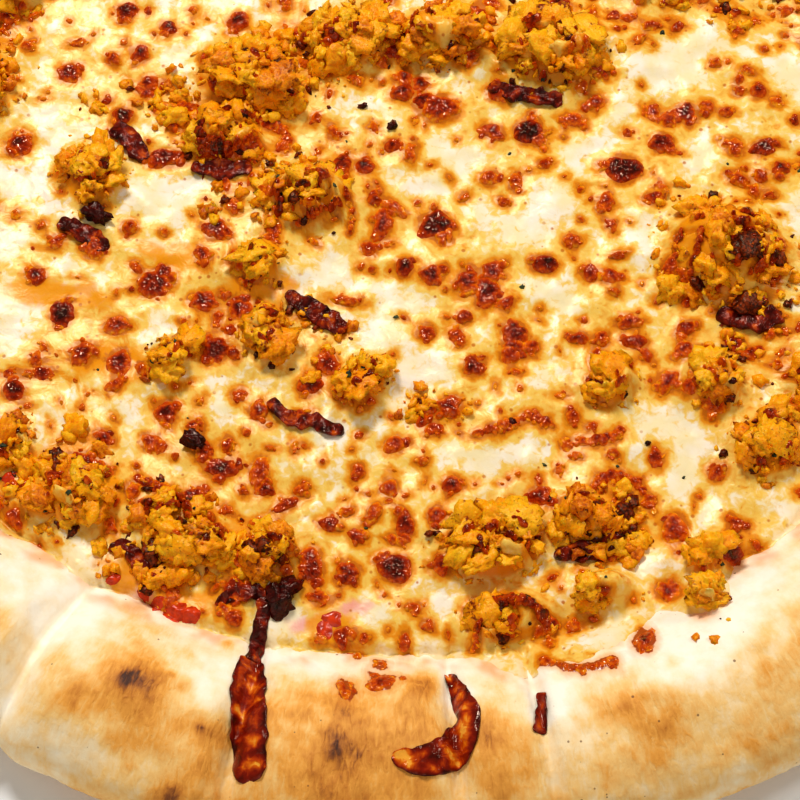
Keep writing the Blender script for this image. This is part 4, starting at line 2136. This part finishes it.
@dataclass
class Studio:
    """A pale floor, a soft light from behind and above, a fill all round, and the camera."""

    target: tuple[float, float, float] = (0.0, -77.0, 9.0)
    elevation: float = 65.0
    distance: float = 600.0
    frame_width: float = 172.5
    sensor: float = 36.0
    floor_size: float = 3000.0
    lamps: tuple[tuple[str, tuple[float, float, float], float, float], ...] = (
        ("window_light", (-0.25, 0.72, 1.05), 0.28, 11.0), ("side_light", (0.75, 0.35, 0.7), 0.2, 2.4),
        ("front_fill", (-0.3, -1.0, 0.7), 1.0, 2.6))
    sky: Colour = (1.0, 0.98, 0.95, 1.0)
    sky_strength: float = 0.23

    def build(self) -> None:
        """Make the floor, the lights, the world and the camera."""
        bpy.ops.mesh.primitive_plane_add(size=self.floor_size * METRES, location=(0.0, 0.0, -0.0005))
        floor = bpy.context.object
        floor.name = "studio_floor"
        floor.data.materials.append(STUDIO_PAPER.make())
        for lamp in self.lamps:
            self.lamp(*lamp)
        world = bpy.data.worlds.new("studio_world")
        world.use_nodes = True
        feed(world.node_tree, world.node_tree.nodes["Background"],
             {"Color": self.sky, "Strength": self.sky_strength})
        bpy.context.scene.world = world
        bpy.context.scene.view_settings.view_transform = "Standard"
        bpy.context.scene.view_settings.look = "Medium High Contrast"
        self.camera()

    def lamp(self, name: str, place: tuple[float, float, float], size: float, power: float) -> None:
        """Add a square soft light that faces the pizza.

        Args:
            name: its name.
            place: where it stands, in metres.
            size: the length of its side, in metres.
            power: its power in watts.
        """
        data = bpy.data.lights.new(name, "AREA")
        data.size = size
        data.energy = power
        light = bpy.data.objects.new(name, data)
        light.location = place
        aim = Vector(self.target) * METRES - Vector(place)
        light.rotation_euler = aim.to_track_quat("-Z", "Y").to_euler()
        bpy.context.scene.collection.objects.link(light)

    def camera(self) -> None:
        """Add the camera, which looks along +Y and down on the front of the pizza."""
        turn = math.radians(self.elevation)
        back = Vector((0.0, -math.cos(turn), math.sin(turn)))
        data = bpy.data.cameras.new("camera")
        data.sensor_width = self.sensor
        data.lens = self.sensor * self.distance / self.frame_width
        data.clip_start = 0.01
        camera = bpy.data.objects.new("camera", data)
        camera.location = (Vector(self.target) + back * self.distance) * METRES
        camera.rotation_euler = (-back).to_track_quat("-Z", "Y").to_euler()
        bpy.context.scene.collection.objects.link(camera)
        bpy.context.scene.camera = camera


def main() -> None:
    """Build the pizza, piece by piece, and the studio."""
    logging.basicConfig(level=logging.INFO, format="%(name)s: %(message)s")
    rim = RimShape()
    heaps = [Heap(f"chicken_{number:02d}", COVERS.get(number, Cover.PARTLY if number % 3 else Cover.BARE))
             for number in range(1, HEAP_COUNT + 1)]
    browning = Browning(heaps)
    crust = Crust(rim, browning)
    cheese = CheeseSheet(rim, crust, browning, heaps)
    sauce = Sauce(rim, crust)
    crust.build(BakedDough().make())
    tomato = COOKED_TOMATO.make()
    sauce.build(tomato)
    cheese.build(MeltedMozzarella().make())

    blistered, heaped = BrownedBubble().make(), browning.lies_on_heap()
    flat = Bubbles("browned_bubbles", "browned_cheese", browning.spots[~heaped], seed=211)
    flat.build(cheese.surface, blistered)
    crests = Bubbles("browned_crests", "browned_cheese", browning.spots[heaped], seed=212, sunk=2.4,
                     raised=0.9, tallest=1.5, charred=0.22)
    crests.build(cheese.heaped_height, blistered)
    pools = Bubbles("sauce_pools", "sauce", np.array(sauce.pools), seed=213, tallest=0.4)
    pools.build(cheese.surface, tomato)

    chicken, kit = SpicedChicken().make(), CrumbKit()
    for heap in heaps:
        ChickenHeap(heap, cheese, kit).build(chicken)
    FallenChicken("fallen_crumbs", cheese, kit, cheese.fallen, area_per_crumb=3.6, sizes=(1.0, 3.6),
                  seed=87).build(chicken)
    FallenChicken("matted_chicken", cheese, kit, cheese.matted, area_per_crumb=7.0, sizes=(2.0, 6.5),
                  seed=89).build(chicken)

    onion, browned, trimmings = CARAMELISED_ONION.make(), BROWNED_CHEESE.make(), Trimmings()
    trimmings.build(cheese.height, crust.height, onion, browned)
    Flecks("herb_flecks", "onion", count=150, sizes=(0.6, 1.3), flatness=0.35, on_heaps=0.8,
           seed=171).build(cheese, DRIED_HERB.make())
    Flecks("charred_bits", "onion", count=50, sizes=(1.2, 2.6), flatness=0.6, on_heaps=0.75, seed=173,
           named=LARGE_CHARRED_BITS).build(cheese, onion)
    trimmings.build_join(cheese.surface, onion)
    Studio().build()


if __name__ == "__main__":
    main()
